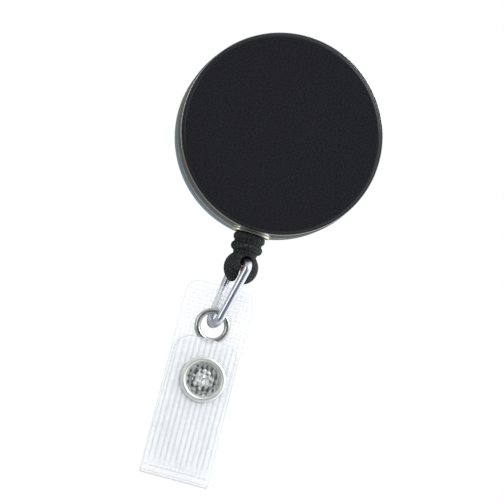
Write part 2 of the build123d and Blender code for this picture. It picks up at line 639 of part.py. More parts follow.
def clip_spring():
    """Torsion spring round the pin, with one leg on the base and one under the thumb pad."""
    pitch = 2 * TORSION_WIRE_R + 0.08
    side = TORSION_TURNS * pitch / 2
    axis = Plane(origin=(-side, 0, 0), x_dir=(0, -1, 0), z_dir=(1, 0, 0))
    spring = swept(axis * Helix(pitch=pitch, height=2 * side, radius=TORSION_COIL_R), TORSION_WIRE_R)
    for x, y, tip_y in ((-side, -TORSION_COIL_R, -2.2), (side, TORSION_COIL_R, 1.7)):
        spring += swept(Line((x, y, -0.05), (x, tip_y, TORSION_LEG)), TORSION_WIRE_R)
    return Pos(0, PIN_Y, PIN_Z) * spring


def clip_washer():
    return tube_y(CLIP_WASHER_R, RIVET_R + RUNNING_GAP, CASE_DEPTH, CLIP_FACE_Y - 0.05)


def clip_rivet():
    """Rivet from inside the case, through the rear shell, the washer and the clip's base."""
    inside_y, head_y = REAR_FLOOR_Y - 0.5, CLIP_BACK_Y + 0.05
    return turned_y([
        (0, inside_y), (RIVET_HEAD_R, inside_y), (RIVET_HEAD_R, REAR_FLOOR_Y), (RIVET_R, REAR_FLOOR_Y),
        (RIVET_R, head_y), (RIVET_HEAD_R + 0.2, head_y), (RIVET_HEAD_R - 0.1, head_y + 0.5),
        (RIVET_HEAD_R / 2, head_y + 0.7), (0, head_y + 0.7),
    ])


# ---------------------------------------------------------------- write every node
NODES = [
    face_plate, front_case, rear_case, cord_guide,
    spring_arbor, spool, spring_cover, power_spring, spool_washer, spool_screw, cord_coil,
    cord, cord_loop, cord_ferrule, cord_stop,
    strap_link, strap_back, strap_front, eyelet, eyelet_washer,
    snap_front_ring, snap_rear_ring, snap_socket, snap_stud,
    clip_base, clip_lever, clip_pin, clip_spring, clip_washer, clip_rivet,
]

os.makedirs("parts", exist_ok=True)
for node in NODES:
    export_step(node(), f"parts/{node.__name__}.step")
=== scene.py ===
"""Retractable badge reel: the looks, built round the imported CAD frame.

Lengths are millimetres in the frame's axes, with -Y the front and +Z up, and mesh() turns them into metres.
Only what Blender takes directly is in metres: the floor, the lights and the camera's distance.
"""
import json
import math

import bmesh
import bpy
from mathutils import Matrix, Vector


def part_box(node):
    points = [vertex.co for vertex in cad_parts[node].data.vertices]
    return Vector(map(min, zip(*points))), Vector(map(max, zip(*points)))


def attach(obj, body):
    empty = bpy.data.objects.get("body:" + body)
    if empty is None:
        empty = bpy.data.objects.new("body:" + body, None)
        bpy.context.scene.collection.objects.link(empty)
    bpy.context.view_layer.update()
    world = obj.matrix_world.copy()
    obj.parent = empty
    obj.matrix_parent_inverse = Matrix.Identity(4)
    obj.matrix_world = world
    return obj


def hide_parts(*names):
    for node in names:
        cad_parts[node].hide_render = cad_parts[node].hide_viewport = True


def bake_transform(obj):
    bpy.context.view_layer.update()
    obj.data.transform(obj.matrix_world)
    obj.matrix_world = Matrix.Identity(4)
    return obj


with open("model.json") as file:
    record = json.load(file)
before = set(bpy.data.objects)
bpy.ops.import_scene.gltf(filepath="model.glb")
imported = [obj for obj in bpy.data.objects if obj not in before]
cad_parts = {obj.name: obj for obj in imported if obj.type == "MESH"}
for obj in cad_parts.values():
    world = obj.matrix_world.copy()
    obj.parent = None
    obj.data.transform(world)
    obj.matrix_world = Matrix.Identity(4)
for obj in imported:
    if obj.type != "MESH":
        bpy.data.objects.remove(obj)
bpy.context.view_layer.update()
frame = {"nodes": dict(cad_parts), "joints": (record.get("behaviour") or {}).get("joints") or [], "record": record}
MM = 0.001
TAU = 2 * math.pi
X, Y, Z = Vector((1, 0, 0)), Vector((0, 1, 0)), Vector((0, 0, 1))
JOINTS = {joint["name"]: joint for joint in frame["joints"]}


def mm(point):
    """A point of the frame, given in metres, in millimetres."""
    return Vector(point) / MM


def low(node):
    return mm(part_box(node)[0])


def high(node):
    return mm(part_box(node)[1])


def middle(node):
    return (low(node) + high(node)) / 2


# ---------- places taken from the frame
CASE_R = high("rear_case").x
CASE_DEPTH = high("rear_case").y
MID_Y = CASE_DEPTH / 2
FACE_R = high("face_plate").x
FACE_T = high("face_plate").y
MOUTH_Z = low("rear_case").z
LIP_Y = low("front_case").y
WALL = 1.0
GUIDE_LOW, GUIDE_HIGH = low("cord_guide"), high("cord_guide")

BAR_AT = mm(JOINTS["link_swing"]["pos_m"])
BAR_AXIS = Vector(JOINTS["link_swing"]["axis"]).normalized()
LINK_FOOT = mm(JOINTS["strap_swing"]["pos_m"])

STRAP_T = 0.5
STRAP_GAP = 0.9
STRAP_AXIS = Vector(JOINTS["flap_open"]["axis"]).normalized()
STRAP_UP = STRAP_AXIS.cross(Y)
EYELET_AT = middle("eyelet")
EYELET_AT.y = high("strap_back").y - STRAP_T
HEM_V = (mm(JOINTS["flap_open"]["pos_m"]) - EYELET_AT).dot(STRAP_UP)
SNAP_AT = middle("snap_front_ring") - EYELET_AT
SNAP_U, SNAP_V = SNAP_AT.dot(STRAP_AXIS), SNAP_AT.dot(STRAP_UP)


def on_strap(u, n, v):
    """A point of the strap: u across it, n through it (front is negative), v up it, from the eyelet."""
    return EYELET_AT + STRAP_AXIS * u + Y * n + STRAP_UP * v


# ---------- shape helpers
def add_object(name, data):
    obj = bpy.data.objects.new(name, data)
    bpy.context.scene.collection.objects.link(obj)
    return obj


def mesh(name, points, faces, slot, smooth_angle=35, marks=()):
    """A dressed mesh object from points in millimetres. Marks are (name, number for each point) pairs."""
    data = bpy.data.meshes.new(name)
    data.from_pydata([Vector(p) * MM for p in points], [], faces)
    for mark, values in marks:
        data.attributes.new(mark, "FLOAT", "POINT").data.foreach_set("value", values)
    obj = add_object(name, data)
    shade(obj, smooth_angle)
    dress(obj, slot)
    return obj


def shade(obj, smooth_angle=35):
    """Outward normals, and smooth faces with sharp edges only where the surface really turns."""
    bm = bmesh.new()
    bm.from_mesh(obj.data)
    bmesh.ops.remove_doubles(bm, verts=bm.verts, dist=1e-7)
    bmesh.ops.recalc_face_normals(bm, faces=bm.faces)
    limit = math.radians(smooth_angle)
    for face in bm.faces:
        face.smooth = True
    for edge in bm.edges:
        edge.smooth = len(edge.link_faces) != 2 or edge.calc_face_angle(0) < limit
    bm.to_mesh(obj.data)
    bm.free()


def dress(obj, slot):
    """Gives an object the material of a slot."""
    obj.data.materials.clear()
    obj.data.materials.append(MATERIALS[slot])


def stand_in(piece, node, body):
    """Shows a piece in place of a node of the frame, moving with a body."""
    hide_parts(node)
    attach(piece, body)


def skin(count, rings, base=0):
    """Faces of a closed tube: rings of count points each, numbered from base, and its two flat ends."""
    faces = []
    for ring in range(rings - 1):
        for k in range(count):
            a, b = base + ring * count + k, base + ring * count + (k + 1) % count
            faces.append((a, b, b + count, a + count))
    last = base + (rings - 1) * count
    return faces + [tuple(range(base, base + count)), tuple(range(last, last + count))]


def apply_modifiers(obj):
    """Bakes every modifier of a mesh into its vertices."""
    bpy.context.view_layer.update()
    evaluated = obj.evaluated_get(bpy.context.evaluated_depsgraph_get())
    baked = bpy.data.meshes.new_from_object(evaluated)
    obj.modifiers.clear()
    old, obj.data = obj.data, baked
    bpy.data.meshes.remove(old)


def combine(obj, tool, operation, smooth_angle=35):
    """Joins a second solid to the first or cuts it away, and discards the second."""
    step = obj.modifiers.new(operation, "BOOLEAN")
    step.object, step.operation, step.solver = tool, operation, "EXACT"
    apply_modifiers(obj)
    bpy.data.objects.remove(tool)
    shade(obj, smooth_angle)
    return obj


def cut_box(obj, corner, opposite):
    """Cuts away a box between two corners."""
    points = [(x, y, z) for x in (corner[0], opposite[0]) for y in (corner[1], opposite[1])
              for z in (corner[2], opposite[2])]
    sides = [(0, 1, 3, 2), (4, 6, 7, 5), (0, 4, 5, 1), (2, 3, 7, 6), (0, 2, 6, 4), (1, 5, 7, 3)]
    return combine(obj, mesh("cutter", points, sides, "case_chrome"), "DIFFERENCE")


def drill(obj, centre, axis, radius, half_length, segments=48, smooth_angle=35):
    """Cuts a round hole along an axis."""
    profile = [(0, -half_length), (radius, -half_length), (radius, half_length), (0, half_length)]
    tool = lathe("cutter", profile, "case_chrome", centre, axis, segments)
    return combine(obj, tool, "DIFFERENCE", smooth_angle)


def lathe(name, profile, slot, centre=Vector((0, 0, 0)), axis=Y, segments=128):
    """Turns a closed profile of (radius, height) points round an axis."""
    axis = Vector(axis).normalized()
    side = axis.orthogonal().normalized()
    other = axis.cross(side)
    count = len(profile)
    points, faces = [], []
    for i in range(segments):
        angle = TAU * i / segments
        out = side * math.cos(angle) + other * math.sin(angle)
        points += [centre + out * radius + axis * height for radius, height in profile]
        near, far = i * count, ((i + 1) % segments) * count
        for k in range(count):
            nxt = (k + 1) % count
            faces.append((near + k, far + k, far + nxt, near + nxt))
    return mesh(name, points, faces, slot)


def arc(centre, radius, start, end, steps=8):
    """Points of an arc in a profile; a pair of radii gives an ellipse. Angles are in degrees."""
    wide, tall = radius if isinstance(radius, tuple) else (radius, radius)
    angles = [math.radians(start + (end - start) * i / steps) for i in range(steps + 1)]
    return [(centre[0] + wide * math.cos(a), centre[1] + tall * math.sin(a)) for a in angles]


def tube(name, path, radius, slot, sides=20):
    """A round rod along a path of points, carried without twist and closed at both ends."""
    points = []
    last = len(path) - 1
    side = (path[1] - path[0]).orthogonal().normalized()
    for i, centre in enumerate(path):
        tangent = (path[min(i + 1, last)] - path[max(i - 1, 0)]).normalized()
        side = (side - tangent * side.dot(tangent)).normalized()
        other = tangent.cross(side)
        for k in range(sides):
            angle = TAU * k / sides
            points.append(centre + (side * math.cos(angle) + other * math.sin(angle)) * radius)
    return mesh(name, points, skin(sides, len(path)), slot)


def rounded_path(corners, radius, step):
    """A path through corner points with round bends, with no gap longer than step."""
    bent = [corners[0]]
    for before, at, after in zip(corners, corners[1:], corners[2:]):
        into, out = (at - before).normalized(), (after - at).normalized()
        turn = into.angle(out)
        inward = (out - into * into.dot(out)).normalized()
        centre = at - into * radius * math.tan(turn / 2) + inward * radius
        for k in range(9):
            a = turn * k / 8
            bent.append(centre - inward * radius * math.cos(a) + into * radius * math.sin(a))
    bent.append(corners[-1])
    path = []
    for a, b in zip(bent, bent[1:]):
        parts = max(1, math.ceil((b - a).length / step))
        path += [a.lerp(b, k / parts) for k in range(parts)]
    return path + [bent[-1]]


def slab(name, outline, place, thickness, rounding, slot):
    """A plate with rounded edges. The outline is (a, b) points, and place(a, b, height) puts them."""
    count = len(outline)
    normals = []
    for i in range(count):
        (xa, ya), (xb, yb) = outline[i - 1], outline[(i + 1) % count]
        size = math.hypot(xb - xa, yb - ya)
        normals.append(((yb - ya) / size, (xa - xb) / size))
    steps = 5
    levels = []
    for k in range(steps + 1):
        angle = math.radians(90 * k / steps)
        levels.append((rounding * (1 - math.sin(angle)), rounding * (1 - math.cos(angle))))
    levels += [(inset, thickness - height) for inset, height in reversed(levels)]
    points = [place(a - na * inset, b - nb * inset, height)
              for inset, height in levels for (a, b), (na, nb) in zip(outline, normals)]
    return mesh(name, points, skin(count, len(levels)), slot, 40)


def spread(length, step, rim, fine=4):
    """Places along a length: close together inside the rim at both ends, and a step apart between."""
    edge = [rim * (k / fine) ** 1.6 for k in range(fine)]
    parts = max(1, round((length - 2 * rim) / step))
    inner = [rim + (length - 2 * rim) * k / parts for k in range(parts + 1)]
    return edge + inner + [length - e for e in reversed(edge)]


def smoothstep(x, start, end):
    t = min(1.0, max(0.0, (x - start) / (end - start)))
    return t * t * (3 - 2 * t)


# ---------- materials
class Nodes:
    """A node tree, with short calls for what the materials and the world need."""

    def __init__(self, tree):
        self.tree = tree

    def add(self, kind, **values):
        """A node of a kind, named as in Blender without its ShaderNode prefix."""
        node = self.tree.nodes.new("ShaderNode" + kind)
        for key, value in values.items():
            setattr(node, key, value)
        return node

    def link(self, source, target):
        self.tree.links.new(source, target)

    def plus(self, a, b):
        return self.maths("ADD", a, b)

    def times(self, a, b):
        return self.maths("MULTIPLY", a, b)

    def maths(self, operation, a, b=0.0):
        node = self.add("Math", operation=operation)
        for socket, value in zip(node.inputs, (a, b)):
            if isinstance(value, (int, float)):
                socket.default_value = value
            else:
                self.link(value, socket)
        return node.outputs["Value"]

    def ramp(self, source, low_value, high_value, start=0.35, end=0.65):
        """Maps the range start to end of a value to another range, clamped."""
        node = self.add("MapRange")
        limits = {"From Min": start, "From Max": end, "To Min": low_value, "To Max": high_value}
        for key, value in limits.items():
            node.inputs[key].default_value = value
        self.link(source, node.inputs["Value"])
        return node.outputs["Result"]


class Material(Nodes):
    """A material's nodes, round its principled shader."""

    def __init__(self, name, **shader):
        self.material = bpy.data.materials.new(name)
        self.material.use_nodes = True
        super().__init__(self.material.node_tree)
        self.shader = self.tree.nodes["Principled BSDF"]
        self.output = self.tree.nodes["Material Output"]
        self.place = self.add("TexCoord").outputs["Object"]
        for key, value in shader.items():
            self.shader.inputs[key.replace("_", " ")].default_value = value

    def noise(self, size_mm, detail=3.0, stretch=(1, 1, 1)):
        """Noise whose grains are about size_mm across."""
        mapping = self.add("Mapping")
        mapping.inputs["Scale"].default_value = stretch
        self.link(self.place, mapping.inputs["Vector"])
        node = self.add("TexNoise")
        node.inputs["Scale"].default_value = 1 / (size_mm * MM)
        node.inputs["Detail"].default_value = detail
        self.link(mapping.outputs["Vector"], node.inputs["Vector"])
        return node.outputs["Fac"]

    def along(self, direction, origin):
        """Distance in millimetres along a direction of the frame, from an origin in millimetres."""
        shift = self.add("VectorMath", operation="SUBTRACT")
        shift.inputs[1].default_value = Vector(origin) * MM
        self.link(self.place, shift.inputs[0])
        dot = self.add("VectorMath", operation="DOT_PRODUCT")
        dot.inputs[1].default_value = Vector(direction) / MM
        self.link(shift.outputs["Vector"], dot.inputs[0])
        return dot.outputs["Value"]

    def mark(self, name):
        """A number stored on the mesh's points."""
        return self.add("Attribute", attribute_name=name).outputs["Fac"]

    def edge_on(self, start, end):
        """0 where the surface faces the viewer, rising to 1 where it is seen edge on."""
        facing = self.add("LayerWeight").outputs["Facing"]
        return self.ramp(facing, 0.0, 1.0, start, end)

    def hollows(self, reach_mm):
        """Ambient occlusion: 1 in the open, falling to 0 in creases."""
        node = self.add("AmbientOcclusion", samples=8)
        node.inputs["Distance"].default_value = reach_mm * MM
        return node.outputs["AO"]

    def colours(self, source, first, second):
        """From the first colour to the second as a value goes from 0 to 1. Each is a colour or an output."""
        node = self.add("Mix", data_type="RGBA")
        for key, colour in (("A", first), ("B", second)):
            if isinstance(colour, bpy.types.NodeSocket):
                self.link(colour, node.inputs[key])
            else:
                node.inputs[key].default_value = (*colour, 1)
        self.link(source, node.inputs["Factor"])
        return node.outputs["Result"]

    def base(self, source):
        self.link(source, self.shader.inputs["Base Color"])

    def rough(self, grain_mm, smoothest, roughest, detail=3.0):
        """Roughness that varies in grains of a size."""
        source = self.ramp(self.noise(grain_mm, detail), smoothest, roughest)
        self.link(source, self.shader.inputs["Roughness"])

    def bump(self, source, depth_mm, strength=1.0):
        node = self.add("Bump")
        node.inputs["Distance"].default_value = depth_mm * MM
        node.inputs["Strength"].default_value = strength
        self.link(source, node.inputs["Height"])
        self.link(node.outputs["Normal"], self.shader.inputs["Normal"])


VINYL_BODY, THREAD_BODY = 0.24, 0.17  # share of the light that the vinyl and its threads hold back
FLAP_BODY = 0.14  # what the ribs add to it
PAINTED_STREAK_PITCH, PAINTED_BLOCK_PITCH = 0.98, 1.25  # pitch of the painted light and dark streaks on the socket, across the strap and up it
# radius of the painted shade in the gap between the socket and its ring
SOCKET_GAP_R = 2.0


def shades(colour, share):
    """A darker version of a colour."""
    return [c * share for c in colour]


def metal(name, colour, smoothest, roughest, wave_mm=0.003):
    """Plated metal: cloudy polish, faint waviness, hairline scratches and duller worn spots."""
    m = Material(name, Metallic=1.0)
    cloud = m.ramp(m.noise(5.0), 0.0, 1.0)
    m.base(m.colours(cloud, shades(colour, 0.93), colour))
    m.rough(1.2, smoothest, roughest, 5.0)
    scratches = m.ramp(m.noise(0.25, detail=1.0, stretch=(1, 1, 0.08)), 0.0, 0.25, 0.62, 0.75)
    m.bump(m.plus(m.noise(3.0, detail=1.0), scratches), wave_mm)
    return m.material


def copper_painted_shade():
    """Copper wire, bright under the link's bar and darkened nearly black towards the crimp by painted shade, up in
    the stop's hole.
    """
    m = Material("copper_painted_shade", Metallic=1.0)
    # Painted shade: darker higher up, where the wire goes up into the stop's hole.
    height = m.plus(m.along(Z, BAR_AT), m.times(m.noise(0.6), 0.5))
    m.base(m.colours(m.ramp(height, 0.0, 1.0, -0.5, 0.3), (0.66, 0.33, 0.20), (0.02, 0.015, 0.012)))
    m.rough(0.3, 0.28, 0.5)
    return m.material


def enamel():
    """Black satin enamel with a very fine grain."""
    m = Material("face_enamel", Specular_IOR_Level=0.26)
    m.base(m.colours(m.ramp(m.noise(0.3), 0.0, 1.0), (0.0062, 0.0062, 0.0086), (0.0135, 0.0135, 0.0170)))
    m.rough(0.25, 0.27, 0.36)
    m.bump(m.noise(0.22, detail=2.0), 0.010, 0.6)
    return m.material


def rubber():
    """Matt charcoal rubber: moulding grain, pale specks of dust, and painted shade that turns its creases black.
    """
    m = Material("moulded_rubber", Specular_IOR_Level=0.30)
    dust = m.ramp(m.noise(0.28, detail=6.0), 0.0, 1.0, 0.50, 0.72)
    base = m.colours(dust, (0.0045, 0.0060, 0.0063), (0.055, 0.061, 0.062))
    # Painted shade: ambient occlusion darkens the creases to black.
    m.base(m.colours(m.ramp(m.hollows(0.9), 0.0, 1.0, 0.50, 0.98), (0.001, 0.001, 0.001), base))
    m.rough(0.3, 0.50, 0.72)
    m.bump(m.noise(0.16, detail=4.0), 0.030, 0.8)
    return m.material


def see_through(m, share, tint=(1, 1, 1)):
    """Lets light straight through a material, except for a share of it."""
    through = m.add("BsdfTransparent")
    if isinstance(tint, bpy.types.NodeSocket):
        m.link(tint, through.inputs["Color"])
    else:
        through.inputs["Color"].default_value = (*tint, 1)
    mix = m.add("MixShader")
    m.link(share, mix.inputs["Fac"])
    m.link(through.outputs["BSDF"], mix.inputs[1])
    m.link(m.shader.outputs["BSDF"], mix.inputs[2])
    m.link(mix.outputs["Shader"], m.output.inputs["Surface"])


def vinyl():
    """Clear vinyl: each surface lets most light straight through and scatters a little, more at its edges.

    Mesh attributes shade it: "ribbed" is 1 on the embossed flap, "groove" is 1 between its ribs, and
    "clear" is 1 where it is pressed over the snap.
    """
    m = Material("clear_vinyl", IOR=1.45)
    groove, rim = m.maths("POWER", m.mark("groove"), 2.0), m.edge_on(0.22, 0.85)
    flat = m.colours(m.ramp(m.noise(4.0), 0.0, 1.0), (0.92, 0.94, 0.96), (1.0, 1.0, 1.0))
    # Painted shade: darker in the grooves between the ribs, and greyer where the sheet is seen edge on.
    ribbed = m.colours(groove, flat, (0.70, 0.73, 0.75))
    m.base(m.colours(rim, ribbed, (0.46, 0.49, 0.52)))
    m.rough(0.9, 0.14, 0.30)
    m.bump(m.plus(m.noise(5.0, detail=1.0), m.times(m.noise(0.4), 0.12)), 0.08, 0.6)
    body = m.ramp(m.noise(3.2), VINYL_BODY - 0.04, VINYL_BODY + 0.04)
    body = m.plus(body, m.times(m.mark("ribbed"), FLAP_BODY))
    open_share = m.maths("SUBTRACT", 1.0, m.times(m.mark("clear"), 0.92))
    share = m.plus(m.times(body, open_share), m.times(rim, 0.55))
    # Painted shade: the light let through is tinted darker in the grooves.
    tint = m.colours(m.times(groove, 0.8), (0.99, 0.995, 1.0), (0.94, 0.955, 0.965))
    see_through(m, share, tint)
    return m.material


def thread():
    """White polyester reinforcing thread, half lost in the vinyl round it."""
    m = Material("mesh_thread", Roughness=0.6)
    m.base(m.colours(m.noise(0.8), (0.80, 0.80, 0.84), (0.94, 0.94, 0.96)))
    m.bump(m.noise(0.1), 0.01)
    see_through(m, m.ramp(m.noise(1.5), THREAD_BODY - 0.08, THREAD_BODY + 0.08))
    return m.material


def braid():
    """Black braided nylon cord."""
    m = Material("cord_braid", Roughness=0.6)
    weave = m.add("TexWave", bands_direction="DIAGONAL")
    weave.inputs["Scale"].default_value = 900
    m.link(m.place, weave.inputs["Vector"])
    m.base(m.colours(weave.outputs["Fac"], (0.010, 0.010, 0.012), (0.045, 0.045, 0.05)))
    m.bump(weave.outputs["Fac"], 0.05)
    return m.material


def plastic(name, colour, roughness):
    """Moulded plastic or painted board with a soft grain."""
    m = Material(name)
    m.base(m.colours(m.noise(3.0), shades(colour, 0.95), colour))
    m.rough(0.8, roughness - 0.05, roughness + 0.05)
    m.bump(m.noise(0.4), 0.006)
    return m.material


def nickel_painted_light():
    """The snap's socket, with painted light and shade: blocks of light and dark where the ribbed vinyl pressed
    over it bends the light, a painted highlight in the middle and painted shade in the gap round it.
    """
    m = Material("socket_nickel", Metallic=1.0)
    centre = on_strap(SNAP_U, 0, SNAP_V)
    across, upwards = m.along(STRAP_AXIS, centre), m.along(STRAP_UP, centre)

    def wave(distance, pitch, wobble_mm, wobble):
        bent = m.times(m.noise(wobble_mm, detail=2.0), wobble)
        return m.maths("SINE", m.plus(m.times(distance, TAU / pitch), bent))

    # Painted light and shade: streaks and blocks that stand in for the ribbed vinyl over the socket.
    streaks = wave(across, PAINTED_STREAK_PITCH, 1.5, 5.0)
    blocks = m.plus(m.times(streaks, 0.62), m.times(wave(upwards, PAINTED_BLOCK_PITCH, 1.1, 11.0), 0.40))
    span = m.maths("SQRT", m.plus(m.maths("POWER", across, 2), m.maths("POWER", upwards, 2)))
    # Painted highlight in the middle of the socket.
    glint = m.ramp(span, 1.5, 0.0, 0.2, 1.3)
    # Painted shade in the gap between the socket and the ring.
    gap = m.ramp(m.maths("ABSOLUTE", m.maths("SUBTRACT", span, SOCKET_GAP_R)), -0.5, 0.0, 0.1, 0.4)
    light = m.plus(m.plus(blocks, glint), gap)
    m.base(m.colours(m.ramp(light, 0.0, 1.0, -0.95, 0.30), (0.07, 0.07, 0.055), (1.0, 1.0, 0.96)))
    m.rough(0.5, 0.34, 0.50)
    m.bump(blocks, 0.16)
    return m.material


METALS = {  # colour, smoothest and roughest finish, and how wavy the smooth case is
    "case_chrome": ((0.68, 0.69, 0.68), 0.10, 0.17, 0.0015),
    "guide_chrome": ((0.96, 0.92, 0.78), 0.28, 0.38),
    "link_wire": ((0.76, 0.80, 0.89), 0.26, 0.34),
    "nickel": ((0.98, 0.99, 0.94), 0.42, 0.54),
    "spring_steel": ((0.40, 0.41, 0.43), 0.22, 0.35),
    "arbor_steel": ((0.50, 0.50, 0.50), 0.25, 0.35),
    "screw_steel": ((0.55, 0.55, 0.56), 0.25, 0.35),
    "clip_steel": ((0.70, 0.71, 0.72), 0.14, 0.26),
}
MATERIALS = {name: metal(name, *look) for name, look in METALS.items()}
MATERIALS.update({
    "face_black": enamel(),
    "stop_rubber": rubber(),
    "cord_nylon": braid(),
    "crimp_copper": copper_painted_shade(),
    "vinyl": vinyl(),
    "spool_plastic": plastic("spool_plastic", (0.75, 0.75, 0.70), 0.45),
})
EYELET_NICKEL = metal("eyelet_nickel", (0.66, 0.67, 0.61), 0.26, 0.36)


# ---------- case
SIDE_DRAFT = 0.12
LIP_ROUND = 0.09
SEAM_GAP = 0.1
SEAM_ROUND = 0.12
REAR_ROUND = 0.8
ARBOR_HOLE_R = 1.2
RIVET_HOLE_R = 1.5
PANEL_R, PANEL_DEPTH, PANEL_SLOPE = 15.6, 0.18, 0.6
BOSS_R, BOSS_FOOT_R = RIVET_HOLE_R + 2.9, RIVET_HOLE_R + 3.3
TONGUE_T, TONGUE_LENGTH = 0.5, 1.15
TONGUE_R = CASE_R - WALL + TONGUE_T
TONGUE_END = MID_Y + TONGUE_LENGTH
NECK_R, NECK_FLANGE_R, NECK_FLANGE_T = 1.3, 1.85, 0.5
BORE_R, BORE_FUNNEL_R, BORE_FUNNEL, BORE_EXIT_R = 0.7, 1.7, 0.9, 0.95


def cut_mouth(shell):
    """Cuts the flat and the hole for the cord guide."""
    cut_box(shell, (-CASE_R, -1, MOUTH_Z - 2), (CASE_R, CASE_DEPTH + 1, MOUTH_Z))
    return drill(shell, Vector((0, MID_Y, MOUTH_Z)), Z, NECK_R, 1.5 * WALL)


def face_disc():
    """Flat black plate with a rounded rim."""
    rounding = 0.8
    profile = [(0, 0), (FACE_R - rounding - 0.35, 0)]
    profile += arc((FACE_R - rounding, rounding), rounding, -90, 0, 14)
    profile += [(FACE_R, FACE_T), (0, FACE_T)]
    disc = lathe("face_disc", profile, "face_black", segments=192)
    stand_in(disc, "face_plate", "case")


def front_shell():
    """Chrome front half: a thin lip round the face, a side that widens to the seam, and a tongue."""
    seam = MID_Y - SEAM_GAP / 2
    inner = CASE_R - WALL
    lip_r = CASE_R - SIDE_DRAFT
    profile = [(ARBOR_HOLE_R, FACE_T), (FACE_R, FACE_T), (FACE_R, LIP_Y + 0.05), (FACE_R + 0.04, LIP_Y)]
    profile += arc((lip_r - LIP_ROUND, LIP_Y + LIP_ROUND), LIP_ROUND, -90, -3, 8)
    profile += [(lip_r + SIDE_DRAFT * k, LIP_Y + LIP_ROUND + (seam - LIP_Y - 0.5) * k) for k in (0.3, 0.65)]
    profile += arc((CASE_R - SEAM_ROUND, seam - SEAM_ROUND), SEAM_ROUND, -2, 90, 5)
    profile += [(TONGUE_R, seam), (TONGUE_R, TONGUE_END), (inner, TONGUE_END)]
    profile += [(inner, FACE_T + WALL), (ARBOR_HOLE_R, FACE_T + WALL)]
    shell = cut_mouth(lathe("front_shell", profile, "case_chrome", segments=192))
    stand_in(shell, "front_case", "case")


def rear_shell():
    """Chrome rear half: a side that narrows from the seam and a back with a shallow pressed panel."""
    seam = MID_Y + SEAM_GAP / 2
    inner, rebate = CASE_R - WALL, TONGUE_R + 0.02
    back_r = CASE_R - SIDE_DRAFT
    turn_y = CASE_DEPTH - REAR_ROUND
    floor_y = CASE_DEPTH - PANEL_DEPTH
    profile = [(RIVET_HOLE_R, CASE_DEPTH - WALL), (inner, CASE_DEPTH - WALL), (inner, TONGUE_END + 0.1)]
    profile += [(rebate, TONGUE_END + 0.1), (rebate, seam)]
    profile += arc((CASE_R - SEAM_ROUND, seam + SEAM_ROUND), SEAM_ROUND, -90, 2, 5)
    profile += [(CASE_R - SIDE_DRAFT * k, seam + (turn_y - seam) * k) for k in (0.35, 0.7)]
    profile += arc((back_r - REAR_ROUND, turn_y), REAR_ROUND, 3, 90, 12)
    profile += [(PANEL_R + PANEL_SLOPE + 0.3, CASE_DEPTH), (PANEL_R + PANEL_SLOPE, CASE_DEPTH)]
    profile += [(PANEL_R + PANEL_SLOPE * (1 - k / 6), CASE_DEPTH - PANEL_DEPTH * smoothstep(k / 6, 0, 1))
                for k in range(1, 7)]
    profile += [(PANEL_R - 0.3, floor_y), (BOSS_FOOT_R, floor_y), (BOSS_R, CASE_DEPTH)]
    profile += [(RIVET_HOLE_R, CASE_DEPTH)]
    shell = cut_mouth(lathe("rear_shell", profile, "case_chrome", segments=192))
    stand_in(shell, "rear_case", "case")


def guide_lip():
    """Bright oblong lip under the case, with a neck through the wall and a flange inside it."""
    half_w = (GUIDE_HIGH.y - GUIDE_LOW.y) / 2 - 0.05
    straight = GUIDE_HIGH.x - half_w
    thickness = MOUTH_Z - GUIDE_LOW.z
    outline = arc((straight, 0), half_w, -90, 90, 20) + arc((-straight, 0), half_w, 90, 270, 20)

    def place(a, b, height):
        return Vector((a, MID_Y + b, GUIDE_LOW.z + height))

    lip = slab("guide_lip", outline, place, thickness, 0.14, "guide_chrome")
    top, foot = GUIDE_HIGH.z, GUIDE_LOW.z
    centre, overlap = Vector((0, MID_Y, 0)), 0.2
    collar = [(0, MOUTH_Z - overlap), (NECK_R, MOUTH_Z - overlap), (NECK_R, top - NECK_FLANGE_T)]
    collar += [(NECK_FLANGE_R, top - NECK_FLANGE_T), (NECK_FLANGE_R, top), (0, top)]
    combine(lip, lathe("cutter", collar, "guide_chrome", centre, Z, 48), "UNION")
    bore = [(0, top + 1), (BORE_FUNNEL_R, top + 1), (BORE_FUNNEL_R, top), (BORE_R, top - BORE_FUNNEL)]
    bore += [(BORE_R, foot + 0.2), (BORE_EXIT_R, foot - 0.05), (BORE_EXIT_R, foot - 1), (0, foot - 1)]
    combine(lip, lathe("cutter", bore, "guide_chrome", centre, Z, 48), "DIFFERENCE")
    stand_in(lip, "cord_guide", "case")


# ---------- cord, stop and link
CORD_R, CORD_BEND_R = 0.4, 1.5


def pull_cord():
    """The cord: from the spool, round a bend at the guide, and down to the stop."""
    spool_side = Vector((low("cord").x + 0.25, MID_Y, high("cord").z - 0.3))
    corner = Vector((0, MID_Y, WALL - CASE_R + CORD_R))
    foot = Vector((0, MID_Y, high("cord_ferrule").z - 0.8))
    path = rounded_path([spool_side, corner, foot], CORD_BEND_R, 0.05)
    cord = tube("pull_cord", path, CORD_R, "cord_nylon", 14)
    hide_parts("cord")
    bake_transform(cord)


STOP_VOXEL, STOP_SMOOTHING = 0.085, 4


def rubber_stop():
    """The moulded stop: a copy of its node, two ribs over a flattened ball, with every edge softened."""
    obj = add_object("rubber_stop", frame["nodes"]["cord_stop"].data.copy())
    shade(obj)
    remesh = obj.modifiers.new("remesh", "REMESH")
    remesh.mode = "VOXEL"
    remesh.voxel_size = STOP_VOXEL * MM
    smooth = obj.modifiers.new("smooth", "SMOOTH")
    smooth.factor, smooth.iterations = 0.5, STOP_SMOOTHING
    apply_modifiers(obj)
    shade(obj, 60)
    dress(obj, "stop_rubber")
    stand_in(obj, "cord_stop", "stopper")


WIRE_R = 0.78
LINK_TOP_W, LINK_BOTTOM_W, LINK_CORNER_R, LINK_BUTT = 6.2, 3.9, 1.4, 1.1


